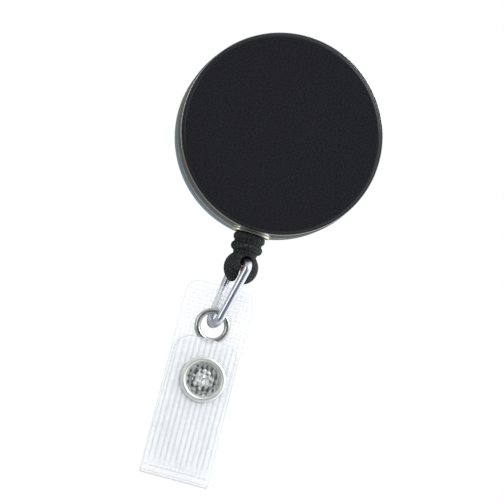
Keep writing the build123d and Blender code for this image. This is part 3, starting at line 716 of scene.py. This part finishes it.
def wire_link():
    """Bent wire: a bar through the stop, two tapering legs and a round foot through the eyelet."""
    length = (LINK_FOOT - BAR_AT).length
    up = (BAR_AT - LINK_FOOT).normalized()
    top, foot = LINK_TOP_W / 2, LINK_BOTTOM_W / 2
    lean = math.degrees(math.atan2(top - foot, length - LINK_CORNER_R - foot))
    half = [(LINK_BUTT + (top - LINK_CORNER_R - LINK_BUTT) * k / 3, 0.0) for k in range(3)]
    half += arc((top - LINK_CORNER_R, -LINK_CORNER_R), LINK_CORNER_R, 90, -lean, 14)
    bend = arc((0, foot - length), foot, -lean, -90, 18)
    (ax, ay), (bx, by) = half[-1], bend[0]
    half += [(ax + (bx - ax) * k / 24, ay + (by - ay) * k / 24) for k in range(1, 24)]
    half += bend
    outline = half + [(-a, b) for a, b in reversed(half)][1:] + [(0.0, 0.0), (LINK_BUTT - 0.08, 0.0)]
    path = [BAR_AT + BAR_AXIS * a + up * b for a, b in outline]
    link = tube("wire_link", path, WIRE_R, "link_wire", sides=32)
    stand_in(link, "strap_link", "link")


# ---------- the vinyl strap
STRAP_W = 12.8
STRAP_TOP, FLAP_END = 7.4, -2.95  # its two free edges, up the strap from the eyelet
CORNER_R, FLAP_CORNER_R = 2.1, 2.9
FLAP_TAPER = 0.42  # taken off each side at the flap's free edge
FOLD_R = (STRAP_GAP + STRAP_T) / 2
HOLE_R = 2.52
BACK_N = STRAP_T / 2
FLAP_N = BACK_N - 2 * FOLD_R
FOLD_V = (low("strap_back") - EYELET_AT).dot(STRAP_UP) + STRAP_T + STRAP_GAP / 2
BACK_LENGTH = STRAP_TOP - FOLD_V
FOLD_LENGTH = math.pi * FOLD_R
FLAP_AT_S = BACK_LENGTH + FOLD_LENGTH
HEM_AT_S = FLAP_AT_S + HEM_V - FOLD_V
STRIP_LENGTH = FLAP_AT_S + FLAP_END - FOLD_V
RIM = 0.26  # width over which an edge rounds off
RIB_PITCH, RIB_HEIGHT = 1.0, 0.15
CROWN = 0.3  # how far the free edges bow up in the middle
MESH_PITCH = 0.78
THREAD_WIDE, THREAD_THIN = 0.13, 0.07
DOME_R, DOME_RISE = 3.05, 0.72


def strip_frame(s):
    """At length s along the strip: (n, v) of its middle, and the direction of its outer face."""
    if s <= BACK_LENGTH:
        return (BACK_N, STRAP_TOP - s), (1.0, 0.0)
    if s >= FLAP_AT_S:
        return (FLAP_N, FOLD_V + s - FLAP_AT_S), (-1.0, 0.0)
    angle = (s - BACK_LENGTH) / FOLD_R
    out = (math.cos(angle), -math.sin(angle))
    return (BACK_N - FOLD_R + FOLD_R * out[0], FOLD_V + FOLD_R * out[1]), out


def corner_radius(s):
    return CORNER_R if s < HEM_AT_S else FLAP_CORNER_R


def side_at(s):
    """Half the strip's width at length s, before its ends are rounded: the flap narrows to its free end."""
    return STRAP_W / 2 - FLAP_TAPER * max(0.0, s - HEM_AT_S) / (STRIP_LENGTH - HEM_AT_S)


def half_width(s):
    """Half the strip's width at length s, with its rounded ends."""
    radius = corner_radius(s)
    corner = radius - min(s, STRIP_LENGTH - s)
    if corner <= 0:
        return side_at(s)
    return side_at(s) - radius + math.sqrt(max(radius ** 2 - corner ** 2, 0.0))


def inside(u, s):
    """How far a point lies inside the strip's round-cornered outline."""
    radius = corner_radius(s)
    du = abs(u) - (side_at(s) - radius)
    ds = abs(s - STRIP_LENGTH / 2) - (STRIP_LENGTH / 2 - radius)
    if du > 0 and ds > 0:
        return radius - math.hypot(du, ds)
    return radius - max(du, ds)


def rib_fade(u, s):
    """1 where the flap is ribbed, falling to 0 at the hem and at the edges."""
    return smoothstep(s, HEM_AT_S - 0.2, HEM_AT_S + 2.2) * smoothstep(STRAP_W / 2 - abs(u), 0.15, 0.6)


def rib_wave(u):
    """1 on the crest of a lengthwise rib, and 0 in the groove between two."""
    return 0.5 + 0.5 * math.cos(TAU * u / RIB_PITCH)


def from_snap(u, s):
    return math.hypot(u - SNAP_U, FOLD_V + s - FLAP_AT_S - SNAP_V)


def snap_dome(u, s):
    """How far the flap stands out over the snap's socket."""
    if s < HEM_AT_S:
        return 0.0
    return DOME_RISE * (1 - smoothstep(from_snap(u, s), DOME_R * 0.3, DOME_R))


def sheet(name, rows):
    """The part of the strip along a run of lengths, as a closed sheet with rounded free edges."""
    across = [2 * t / STRAP_W - 1 for t in spread(STRAP_W, 0.085, RIM)]
    points, faces, index = [], [], {}
    marks = {"clear": [], "ribbed": [], "groove": []}
    for j, s in enumerate(rows):
        half = half_width(s)
        (n, v), out = strip_frame(s)
        end = min(s, STRIP_LENGTH - s)
        for i, share in enumerate(across):
            u = half * share
            depth = max(0.0, min(inside(u, s), RIM))
            full = STRAP_T / 2 * math.sqrt(max(0.0, 1 - (1 - depth / RIM) ** 2))
            rise = CROWN * (1 - (2 * u / STRAP_W) ** 2) * (1 - smoothstep(end, 0, 3.5))
            lift = snap_dome(u, s)
            shared = full < 1e-6
            for face in (0, 1):
                if shared and face:
                    index[i, j, 1] = index[i, j, 0]
                    continue
                rib = RIB_HEIGHT * rib_fade(u, s) * rib_wave(u)
                height = lift - full if face else lift + full + rib * min(1.0, 4 * full)
                index[i, j, face] = len(points)
                points.append(on_strap(u, n + out[0] * height, v + rise + out[1] * height))
                near_dome = 1 - smoothstep(from_snap(u, s), DOME_R - 0.3, DOME_R + 0.2)
                marks["clear"].append(near_dome if s > HEM_AT_S else 0.0)
                marks["ribbed"].append(rib_fade(u, s))
                marks["groove"].append(rib_fade(u, s) * (1 - rib_wave(u)))
    last_i, last_j = len(across) - 1, len(rows) - 1
    for j in range(last_j):
        for i in range(last_i):
            for face in (0, 1):
                corners = ((i, j), (i + 1, j), (i + 1, j + 1), (i, j + 1))
                faces.append(tuple(index[a, b, face] for a, b in corners))
    for j in (0, last_j):
        for i in range(last_i):
            if index[i + 1, j, 0] != index[i + 1, j, 1] or index[i, j, 0] != index[i, j, 1]:
                rim = (index[i, j, 0], index[i + 1, j, 0], index[i + 1, j, 1], index[i, j, 1])
                faces.append(tuple(dict.fromkeys(rim)))
    return mesh(name, points, faces, "vinyl", 50, marks.items())


def strap_sheets():
    """The strap in two pieces that meet at the hem: back layer with fold, and the ribbed flap.

    The flap's rows lie close together over the stretch just above the hem, where the real flap bends when it
    opens.
    """
    rows = [s for s in spread(STRIP_LENGTH, 0.3, RIM) if s < BACK_LENGTH - 0.1]
    rows += [BACK_LENGTH + FOLD_LENGTH * k / 24 for k in range(25)]
    rows += [HEM_AT_S - 0.55, HEM_AT_S - 0.25, HEM_AT_S]
    back = sheet("vinyl_back", rows)
    drill(back, EYELET_AT, Y, HOLE_R, 5, 96, 50)
    stand_in(back, "strap_back", "strap")

    rows = [HEM_AT_S + 0.12 * k for k in range(20)]
    rows += [s for s in spread(STRIP_LENGTH, 0.2, RIM) if s > rows[-1] + 0.05]
    flap = sheet("vinyl_flap", rows)
    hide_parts("strap_front")
    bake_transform(flap)


def strap_threads():
    """The reinforcing mesh inside the back layer: flattened threads up it and across it."""
    points, faces = [], []
    sides = 6

    def add_thread(run, across):
        base = len(points)
        for u, s in run:
            centre = on_strap(u, BACK_N, STRAP_TOP - s)
            for k in range(sides):
                angle = TAU * k / sides
                around = across * THREAD_WIDE * math.cos(angle) + Y * THREAD_THIN * math.sin(angle)
                points.append(centre + around)
        faces.extend(skin(sides, len(run), base))

    def add_runs(spots, across):
        """Adds a thread along each unbroken run of spots that lie in the sheet."""
        run = []
        for u, s in spots + [(0, STRAP_TOP)]:
            if math.hypot(u, STRAP_TOP - s) > HOLE_R + 0.28 and inside(u, s) > 0.3:
                run.append((u, s))
                continue
            if len(run) > 1:
                add_thread(run, across)
            run = []

    last = BACK_LENGTH - 0.3
    columns = int(STRAP_W / 2 / MESH_PITCH)
    for k in range(-columns, columns + 1):
        add_runs([(k * MESH_PITCH, 0.2 + 0.3 * i) for i in range(int(last / 0.3))], STRAP_AXIS)
    for k in range(1, int(last / MESH_PITCH) + 1):
        add_runs([(-STRAP_W / 2 + 0.2 * i, k * MESH_PITCH) for i in range(int(STRAP_W / 0.2) + 1)], STRAP_UP)
    threads = mesh("strap_mesh", points, faces, "vinyl")
    threads.data.materials[0] = thread()
    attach(threads, "strap")


# ---------- eyelet and snap
def strap_ring(name, node, profile, u, v, body):
    """A turned nickel part of the strap. The profile's heights are depths n through the strap."""
    ring = lathe(name, profile, "nickel", on_strap(u, 0, v), Y, 112)
    stand_in(ring, node, body)
    return ring


EYELET_HOLE_R, EYELET_R, EYELET_RISE = 2.25, 3.3, 0.40
BARREL_R = 2.48
WASHER_R = 3.24
RING_CREST_R, RING_HALF, RING_RISE = 3.725, 0.525, 0.72
SOCKET_CUP_R, SOCKET_FLANGE_R, SOCKET_T = 1.92, 4.0, 0.28
STUD_R, STUD_FLANGE_R = 1.4, 3.3


def eyelet_parts():
    """A rolled eyelet: a broad convex flange, and a barrel rolled over the washer behind."""
    crest, base, back = (EYELET_R + EYELET_HOLE_R) / 2, -0.05, STRAP_T
    profile = [(BARREL_R, 0.0), (EYELET_R - 0.05, 0.0)]
    profile += arc((crest, base), (EYELET_R - crest, EYELET_RISE), 0, -90, 12)
    profile += arc((crest, base), (crest - EYELET_HOLE_R, EYELET_RISE), -90, -180, 12)[1:]
    roll = (EYELET_HOLE_R + 0.37, back + 0.10)
    profile += [(EYELET_HOLE_R, back + 0.05)]
    profile += arc(roll, (0.37, 0.34), 180, 20, 10) + arc(roll, (0.16, 0.15), 0, 160, 6) + [(BARREL_R, back)]
    ring = strap_ring("rolled_eyelet", "eyelet", profile, 0, 0, "strap")
    ring.data.materials[0] = EYELET_NICKEL
    profile = [(HOLE_R, back), (WASHER_R, back)] + arc((WASHER_R - 0.04, back + 0.1), 0.1, -60, 60, 5)
    profile += [(WASHER_R - 0.14, back + 0.22), (2.85, back + 0.06), (HOLE_R, back + 0.06)]
    strap_ring("backing_washer", "eyelet_washer", profile, 0, 0, "strap")


def snap_parts():
    """The snap: open ring and socket on the flap, stud and rear ring on the back layer."""
    flap_front, flap_back = FLAP_N - STRAP_T / 2, FLAP_N + STRAP_T / 2
    inner, outer = RING_CREST_R - RING_HALF, RING_CREST_R + RING_HALF
    profile = [(inner + 0.12, flap_front), (outer - 0.05, flap_front)]
    profile += arc((RING_CREST_R, flap_front - 0.18), (RING_HALF, RING_RISE), 0, -180, 22)
    profile += [(inner, flap_front - 0.05)]
    strap_ring("open_ring", "snap_front_ring", profile, SNAP_U, SNAP_V, "flap")

    top, seat = flap_front - DOME_RISE + STRAP_T + 0.1, flap_back + 0.02
    profile = [(0, top - 0.02), (0.6, top), (1.2, top + 0.06)]
    profile += arc((1.75, top + 0.4), (0.32, 0.3), -90, 0, 6)
    profile += [(2.12, seat - 0.14), (2.3, seat), (2.6, seat), (SOCKET_FLANGE_R - 0.1, seat)]
    profile += [(SOCKET_FLANGE_R, seat + 0.06), (SOCKET_FLANGE_R, seat + 0.34), (SOCKET_CUP_R, seat + 0.34)]
    profile += [(SOCKET_CUP_R, top + 0.6), (1.6, top + SOCKET_T + 0.04), (0, top + SOCKET_T)]
    socket = strap_ring("socket_cup", "snap_socket", profile, SNAP_U, SNAP_V, "flap")
    socket.data.materials[0] = nickel_painted_light()

    stud_top = flap_back - 0.12
    profile = [(0, stud_top), (1.1, stud_top + 0.03)] + arc((1.35, stud_top + 0.4), 0.4, -80, 60, 8)
    profile += [(STUD_R, -0.4), (STUD_FLANGE_R - 0.2, -0.36), (STUD_FLANGE_R, -0.3), (STUD_FLANGE_R, -0.02)]
    profile += [(STUD_R, -0.02), (STUD_R, -0.1), (0, -0.1)]
    strap_ring("stud_post", "snap_stud", profile, SNAP_U, SNAP_V, "strap")

    profile = [(0, -0.1), (STUD_R, -0.1), (STUD_R, STRAP_T), (outer - 0.05, STRAP_T)]
    profile += arc((RING_CREST_R, STRAP_T + 0.18), (RING_HALF, RING_RISE), 0, 180, 20)
    profile += [(2.9, STRAP_T + 0.3), (2.6, STRAP_T + 0.32), (1.3, STRAP_T + 0.36), (0, STRAP_T + 0.4)]
    strap_ring("rear_ring", "snap_rear_ring", profile, SNAP_U, SNAP_V, "strap")


# ---------- belt clip
PIN_AT = middle("clip_pin")
PLATE_T = 0.8
PIN_R = 0.8
EAR_ROUND = 0.12
BASE_EAR, LEVER_EAR = (1.9, 3.2), (1.6, 2.6)  # radius round the pin, and half length at the plate
JAW_DEPTH = 2.7
TOOTH_PITCH, NOTCH_WIDTH, NOTCH_DEPTH = 2.4, 0.9, 0.75
LEVER_LINE = ((17.4, 14.6), (16.2, 9.0), (16.0, 1.5), (13.5, -8.6))  # (y, z) from the thumb pad down
LEVER_EAR_Y = 15.9
SPRING_WIRE, SPRING_R, SPRING_TURNS = 0.25, 1.4, 4.5
SPRING_LEG_Z, SPRING_FEET_Y = 5.2, (-2.2, 1.7)  # where its legs end, from the pin
PIN_HEAD_R, PIN_HEAD_T, PIN_HEAD_ROUND = 1.25, 0.4, 0.2
RIVET_R, RIVET_FLANGE_R, RIVET_FLANGE_T = 1.5, 2.4, 0.5
RIVET_DOME_R, RIVET_DOME_RISE = 2.6, 0.65
WASHER_RIM_R, WASHER_EDGE = 4.0, 0.08


def bent_strip(name, path, half_w, corner, slot):
    """A strip of plate bent along a path in the YZ plane, with rounded edges and corners."""
    rounding = 0.22
    lengths = [0.0]
    for a, b in zip(path, path[1:]):
        lengths.append(lengths[-1] + (b - a).length)
    total = lengths[-1]

    def station(s):
        """The path's point and the strip's normal at a distance along it."""
        i = max(k for k in range(len(path) - 1) if lengths[k] <= s + 1e-9)
        tangent = (path[i + 1] - path[i]).normalized()
        ahead = (path[min(i + 2, len(path) - 1)] - path[max(i - 1, 0)]).normalized()
        share = (s - lengths[i]) / (lengths[i + 1] - lengths[i])
        blended = tangent if i in (0, len(path) - 2) else tangent.lerp(ahead, 0.5).normalized()
        return path[i].lerp(path[i + 1], share), X.cross(blended)

    steps = 4
    tips = [rounding * (1 - math.cos(math.radians(90 * k / steps))) for k in range(steps)]
    stops = tips + [s for s in spread(total, 0.5, corner, 8) if rounding < s < total - rounding]
    stops += [total - t for t in reversed(tips)]
    points = []
    for s in stops:
        end = min(s, total - s)
        wide = half_w if end >= corner else half_w - corner + math.sqrt(corner ** 2 - (corner - end) ** 2)
        inset = rounding - math.sqrt(max(0.0, rounding ** 2 - (rounding - min(end, rounding)) ** 2))
        at, normal = station(s)
        for side_x, side_n, start in ((1, 1, 90), (1, -1, 0), (-1, -1, -90), (-1, 1, 180)):
            for k in range(steps + 1):
                angle = math.radians(start - 90 * k / steps)
                x = side_x * (wide - rounding) + (rounding - inset) * math.cos(angle)
                n = side_n * (PLATE_T / 2 - rounding) + (rounding - inset) * math.sin(angle)
                points.append(at + X * x + normal * n)
    return mesh(name, points, skin(4 * (steps + 1), len(stops)), slot, 40)


def ear(side, outer_x, radius, half_root, root_y):
    """One side ear round the pin, joined to a plate at root_y."""
    reach = root_y - PIN_AT.y
    start = -90 if reach < 0 else 90
    root = math.copysign(half_root, -reach)
    outline = arc((0, 0), radius, start, start + 180, 20) + [(reach, root), (reach, -root)]

    def place(a, b, height):
        return Vector((side * outer_x - side * height, PIN_AT.y + a, PIN_AT.z + b))

    return slab("cutter", outline, place, PLATE_T, EAR_ROUND, "clip_steel")


def clip_plates():
    """The riveted base with its toothed jaw, and the rocking lever, both with ears round the pin."""
    base_front, base_back = low("clip_base").y, low("clip_base").y + PLATE_T
    mid = (base_front + base_back) / 2
    jaw_z, top_z = low("clip_base").z, high("clip_base").z
    jaw_y = high("rear_case").y + JAW_DEPTH
    half_w = high("clip_base").x
    jaw_mid = jaw_z + PLATE_T / 2
    path = [Vector((0, mid, top_z)), Vector((0, mid, jaw_mid)), Vector((0, jaw_y, jaw_mid))]
    base = bent_strip("clip_plate", rounded_path(path, 0.75, 0.6), half_w, 1.2, "clip_steel")
    for side in (-1, 1):
        combine(base, ear(side, half_w, *BASE_EAR, base_back - 0.2), "UNION")
    drill(base, Vector((0, mid, 0)), Y, RIVET_R + 0.05, 2)
    drill(base, PIN_AT, X, PIN_R, 8, 40)
    for k in (-1, 0, 1):
        left, right = TOOTH_PITCH * k - NOTCH_WIDTH / 2, TOOTH_PITCH * k + NOTCH_WIDTH / 2
        cut_box(base, (left, jaw_y - NOTCH_DEPTH, jaw_z - 1), (right, jaw_y + 1, jaw_z + 2))
    stand_in(base, "clip_base", "clip")

    half_w = high("clip_lever").x
    line = (*LEVER_LINE, (jaw_y + 0.45, jaw_z + 0.2))
    path = rounded_path([Vector((0, y, z)) for y, z in line], 4.0, 0.6)
    lever = bent_strip("rocking_lever", path, half_w, 1.6, "clip_steel")
    for side in (-1, 1):
        combine(lever, ear(side, half_w, *LEVER_EAR, LEVER_EAR_Y), "UNION")
    drill(lever, PIN_AT, X, PIN_R + 0.05, 8, 40)
    stand_in(lever, "clip_lever", "lever")


def clip_hardware():
    """Pin, torsion spring, rivet and washer of the belt clip."""
    half = high("clip_pin").x
    head = [(0, -half)]
    head += arc((PIN_HEAD_R - PIN_HEAD_ROUND, PIN_HEAD_ROUND - half), PIN_HEAD_ROUND, -90, 0, 5)
    head += [(PIN_HEAD_R, PIN_HEAD_T - half), (PIN_R, PIN_HEAD_T - half)]
    profile = head + [(r, -h) for r, h in reversed(head)]
    pin = lathe("clip_axle", profile, "clip_steel", PIN_AT, X, 48)
    stand_in(pin, "clip_pin", "clip")

    reach = SPRING_TURNS * (2 * SPRING_WIRE + 0.08) / 2
    steps = int(SPRING_TURNS * 24)
    feet = [PIN_AT + Vector((x, y, SPRING_LEG_Z)) for x, y in zip((-reach, reach), SPRING_FEET_Y)]
    path = [feet[0], PIN_AT + Vector((-reach, -SPRING_R, 0))]
    for k in range(1, steps):
        angle = math.pi + TAU * k / 24
        turn = Vector((0, math.cos(angle), math.sin(angle))) * SPRING_R
        path.append(PIN_AT + X * reach * (2 * k / steps - 1) + turn)
    path += [PIN_AT + Vector((reach, SPRING_R, 0)), feet[1]]
    fine = [path[0].lerp(path[1], k / 8) for k in range(8)] + path[1:-1]
    fine += [path[-2].lerp(path[-1], k / 8) for k in range(1, 9)]
    spring = tube("clip_coil", fine, SPRING_WIRE, "spring_steel", 12)
    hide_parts("clip_spring")
    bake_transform(spring)

    inside_y, head_y = low("clip_rivet").y, low("clip_base").y + PLATE_T + 0.05
    flange_y = inside_y + RIVET_FLANGE_T
    profile = [(0, inside_y), (RIVET_FLANGE_R, inside_y), (RIVET_FLANGE_R, flange_y), (RIVET_R, flange_y)]
    profile += [(RIVET_R, head_y), (RIVET_DOME_R - 0.1, head_y)]
    profile += arc((0, head_y + 0.05), (RIVET_DOME_R, RIVET_DOME_RISE), 5, 90, 12)
    rivet = lathe("clip_rivet_head", profile, "clip_steel", segments=64)
    stand_in(rivet, "clip_rivet", "case")

    front, back = CASE_DEPTH, high("clip_washer").y
    bore, rim, edge = RIVET_R + 0.05, WASHER_RIM_R, WASHER_EDGE
    half = [(bore, front), (rim - 0.1, front), (rim, front + edge)]
    profile = half + [(r, front + back - y) for r, y in reversed(half)]
    washer = lathe("swivel_washer", profile, "clip_steel", segments=72)
    stand_in(washer, "clip_washer", "case")


# ---------- stage, lights and camera
FIELD_MM = 93.16  # width of the picture at the reel
CAMERA_DISTANCE = 0.8
AZIMUTH, ELEVATION, ROLL = -6.6, -7.6, 16.0
AIM = Vector((1.18, MID_Y, -22.1))
FLOOR_Z = -1.05


def set_camera():
    """Looks at the reel from a little to the left and below, turned so that it hangs askew."""
    a, e, roll = (math.radians(x) for x in (AZIMUTH, ELEVATION, ROLL))
    towards = Vector((math.sin(a) * math.cos(e), -math.cos(a) * math.cos(e), math.sin(e)))
    right = Vector((math.cos(a), math.sin(a), 0))
    up = towards.cross(right)
    turned_up = up * math.cos(roll) - right * math.sin(roll)
    turned_right = right * math.cos(roll) + up * math.sin(roll)
    data = bpy.data.cameras.new("camera")
    data.sensor_width = 36
    data.lens = 36 * CAMERA_DISTANCE / (FIELD_MM * MM)
    data.clip_start, data.clip_end = 0.05, 20
    camera = add_object("camera", data)
    axes = Matrix((turned_right, turned_up, towards)).transposed().to_4x4()
    camera.matrix_world = Matrix.Translation(AIM * MM + towards * CAMERA_DISTANCE) @ axes
    bpy.context.scene.camera = camera


def soft_light(name, place, size, power):
    """A rectangular softbox aimed at the middle of the reel."""
    data = bpy.data.lights.new(name, "AREA")
    data.shape = "RECTANGLE"
    data.size, data.size_y = size
    data.energy = power
    light = add_object(name, data)
    light.location = place
    light.rotation_euler = (AIM * MM - Vector(place)).to_track_quat("-Z", "Y").to_euler()


STUDIO = (
    (-1.00, (0.10, 0.11, 0.13)), (-0.80, (0.16, 0.18, 0.21)), (-0.55, (0.90, 0.92, 0.95)),
    (0.20, (1.00, 1.00, 1.00)), (0.70, (0.80, 0.81, 0.82)), (0.92, (0.215, 0.195, 0.155)),
    (0.975, (0.13, 0.118, 0.088)), (0.995, (0.25, 0.33, 0.39)), (1.00, (0.35, 0.46, 0.54)),
)


def set_world():
    """White for the camera. Reflections see a studio: dark behind the camera, bright at the sides."""
    world = bpy.data.worlds.new("studio")
    bpy.context.scene.world = world
    world.use_nodes = True
    world.node_tree.nodes.clear()
    w = Nodes(world.node_tree)
    split = w.add("SeparateXYZ")
    w.link(w.add("TexCoord").outputs["Generated"], split.inputs["Vector"])

    def slope(axis, low_value, high_value):
        return w.ramp(split.outputs[axis], low_value, high_value, -1, 1)

    ramp = w.add("ValToRGB")
    stops = ramp.color_ramp.elements
    for i, (facing, colour) in enumerate(STUDIO):
        stop = stops[i] if i < 2 else stops.new(1.0)
        stop.position = (facing + 1) / 2
        stop.color = (*colour, 1)
    w.link(slope("Y", 0, 1), ramp.inputs["Fac"])
    studio, soft, plain = (w.add("Background") for _ in range(3))
    w.link(ramp.outputs["Color"], studio.inputs["Color"])
    w.link(w.times(slope("Z", 0.80, 1.15), slope("X", 0.40, 1.45)), studio.inputs["Strength"])
    soft.inputs["Color"].default_value = (0.97, 0.98, 1.0, 1)
    w.link(slope("X", 0.80, 1.10), soft.inputs["Strength"])
    plain.inputs["Color"].default_value = (1, 1, 1, 1)

    rays = w.add("LightPath")

    def choose(ray, otherwise, chosen):
        """One shader for a kind of ray, and another for the rest."""
        mix = w.add("MixShader")
        for source, target in ((rays.outputs[ray], 0), (otherwise.outputs[0], 1), (chosen.outputs[0], 2)):
            w.link(source, mix.inputs[target])
        return mix

    lit = choose("Is Glossy Ray", soft, studio)
    seen = choose("Is Camera Ray", lit, plain)
    w.link(seen.outputs["Shader"], w.add("OutputWorld").inputs["Surface"])


def set_floor():
    """A plain pale floor, below the lowest point that the badge can be pulled to.

    Reflections don't see it, so that they see the studio all round.
    """
    reach = 40.0
    data = bpy.data.meshes.new("floor")
    corners = [(x * reach, y * reach, FLOOR_Z) for x, y in ((-1, -1), (1, -1), (1, 1), (-1, 1))]
    data.from_pydata(corners, [], [(0, 1, 2, 3)])
    floor = add_object("floor", data)
    paper = plastic("floor_paper", (0.92, 0.92, 0.91), 0.8)
    glow = paper.node_tree.nodes["Principled BSDF"].inputs
    glow["Emission Color"].default_value = (1, 1, 1, 1)
    glow["Emission Strength"].default_value = 0.16
    floor.data.materials.append(paper)
    floor.visible_glossy = False


# ---------- build
for part in frame["record"]["subparts"]:
    dress(frame["nodes"][part["node"]], part["material_slot"])

face_disc()
front_shell()
rear_shell()
guide_lip()
pull_cord()
rubber_stop()
wire_link()
strap_sheets()
strap_threads()
eyelet_parts()
snap_parts()
clip_plates()
clip_hardware()

set_world()
set_floor()
soft_light("key", (0.5, -0.55, 0.5), (0.4, 0.4), 3.6)
soft_light("fill", (-0.6, -0.5, 0.1), (0.3, 0.5), 1.0)
set_camera()
bpy.context.scene.view_settings.view_transform = "Standard"
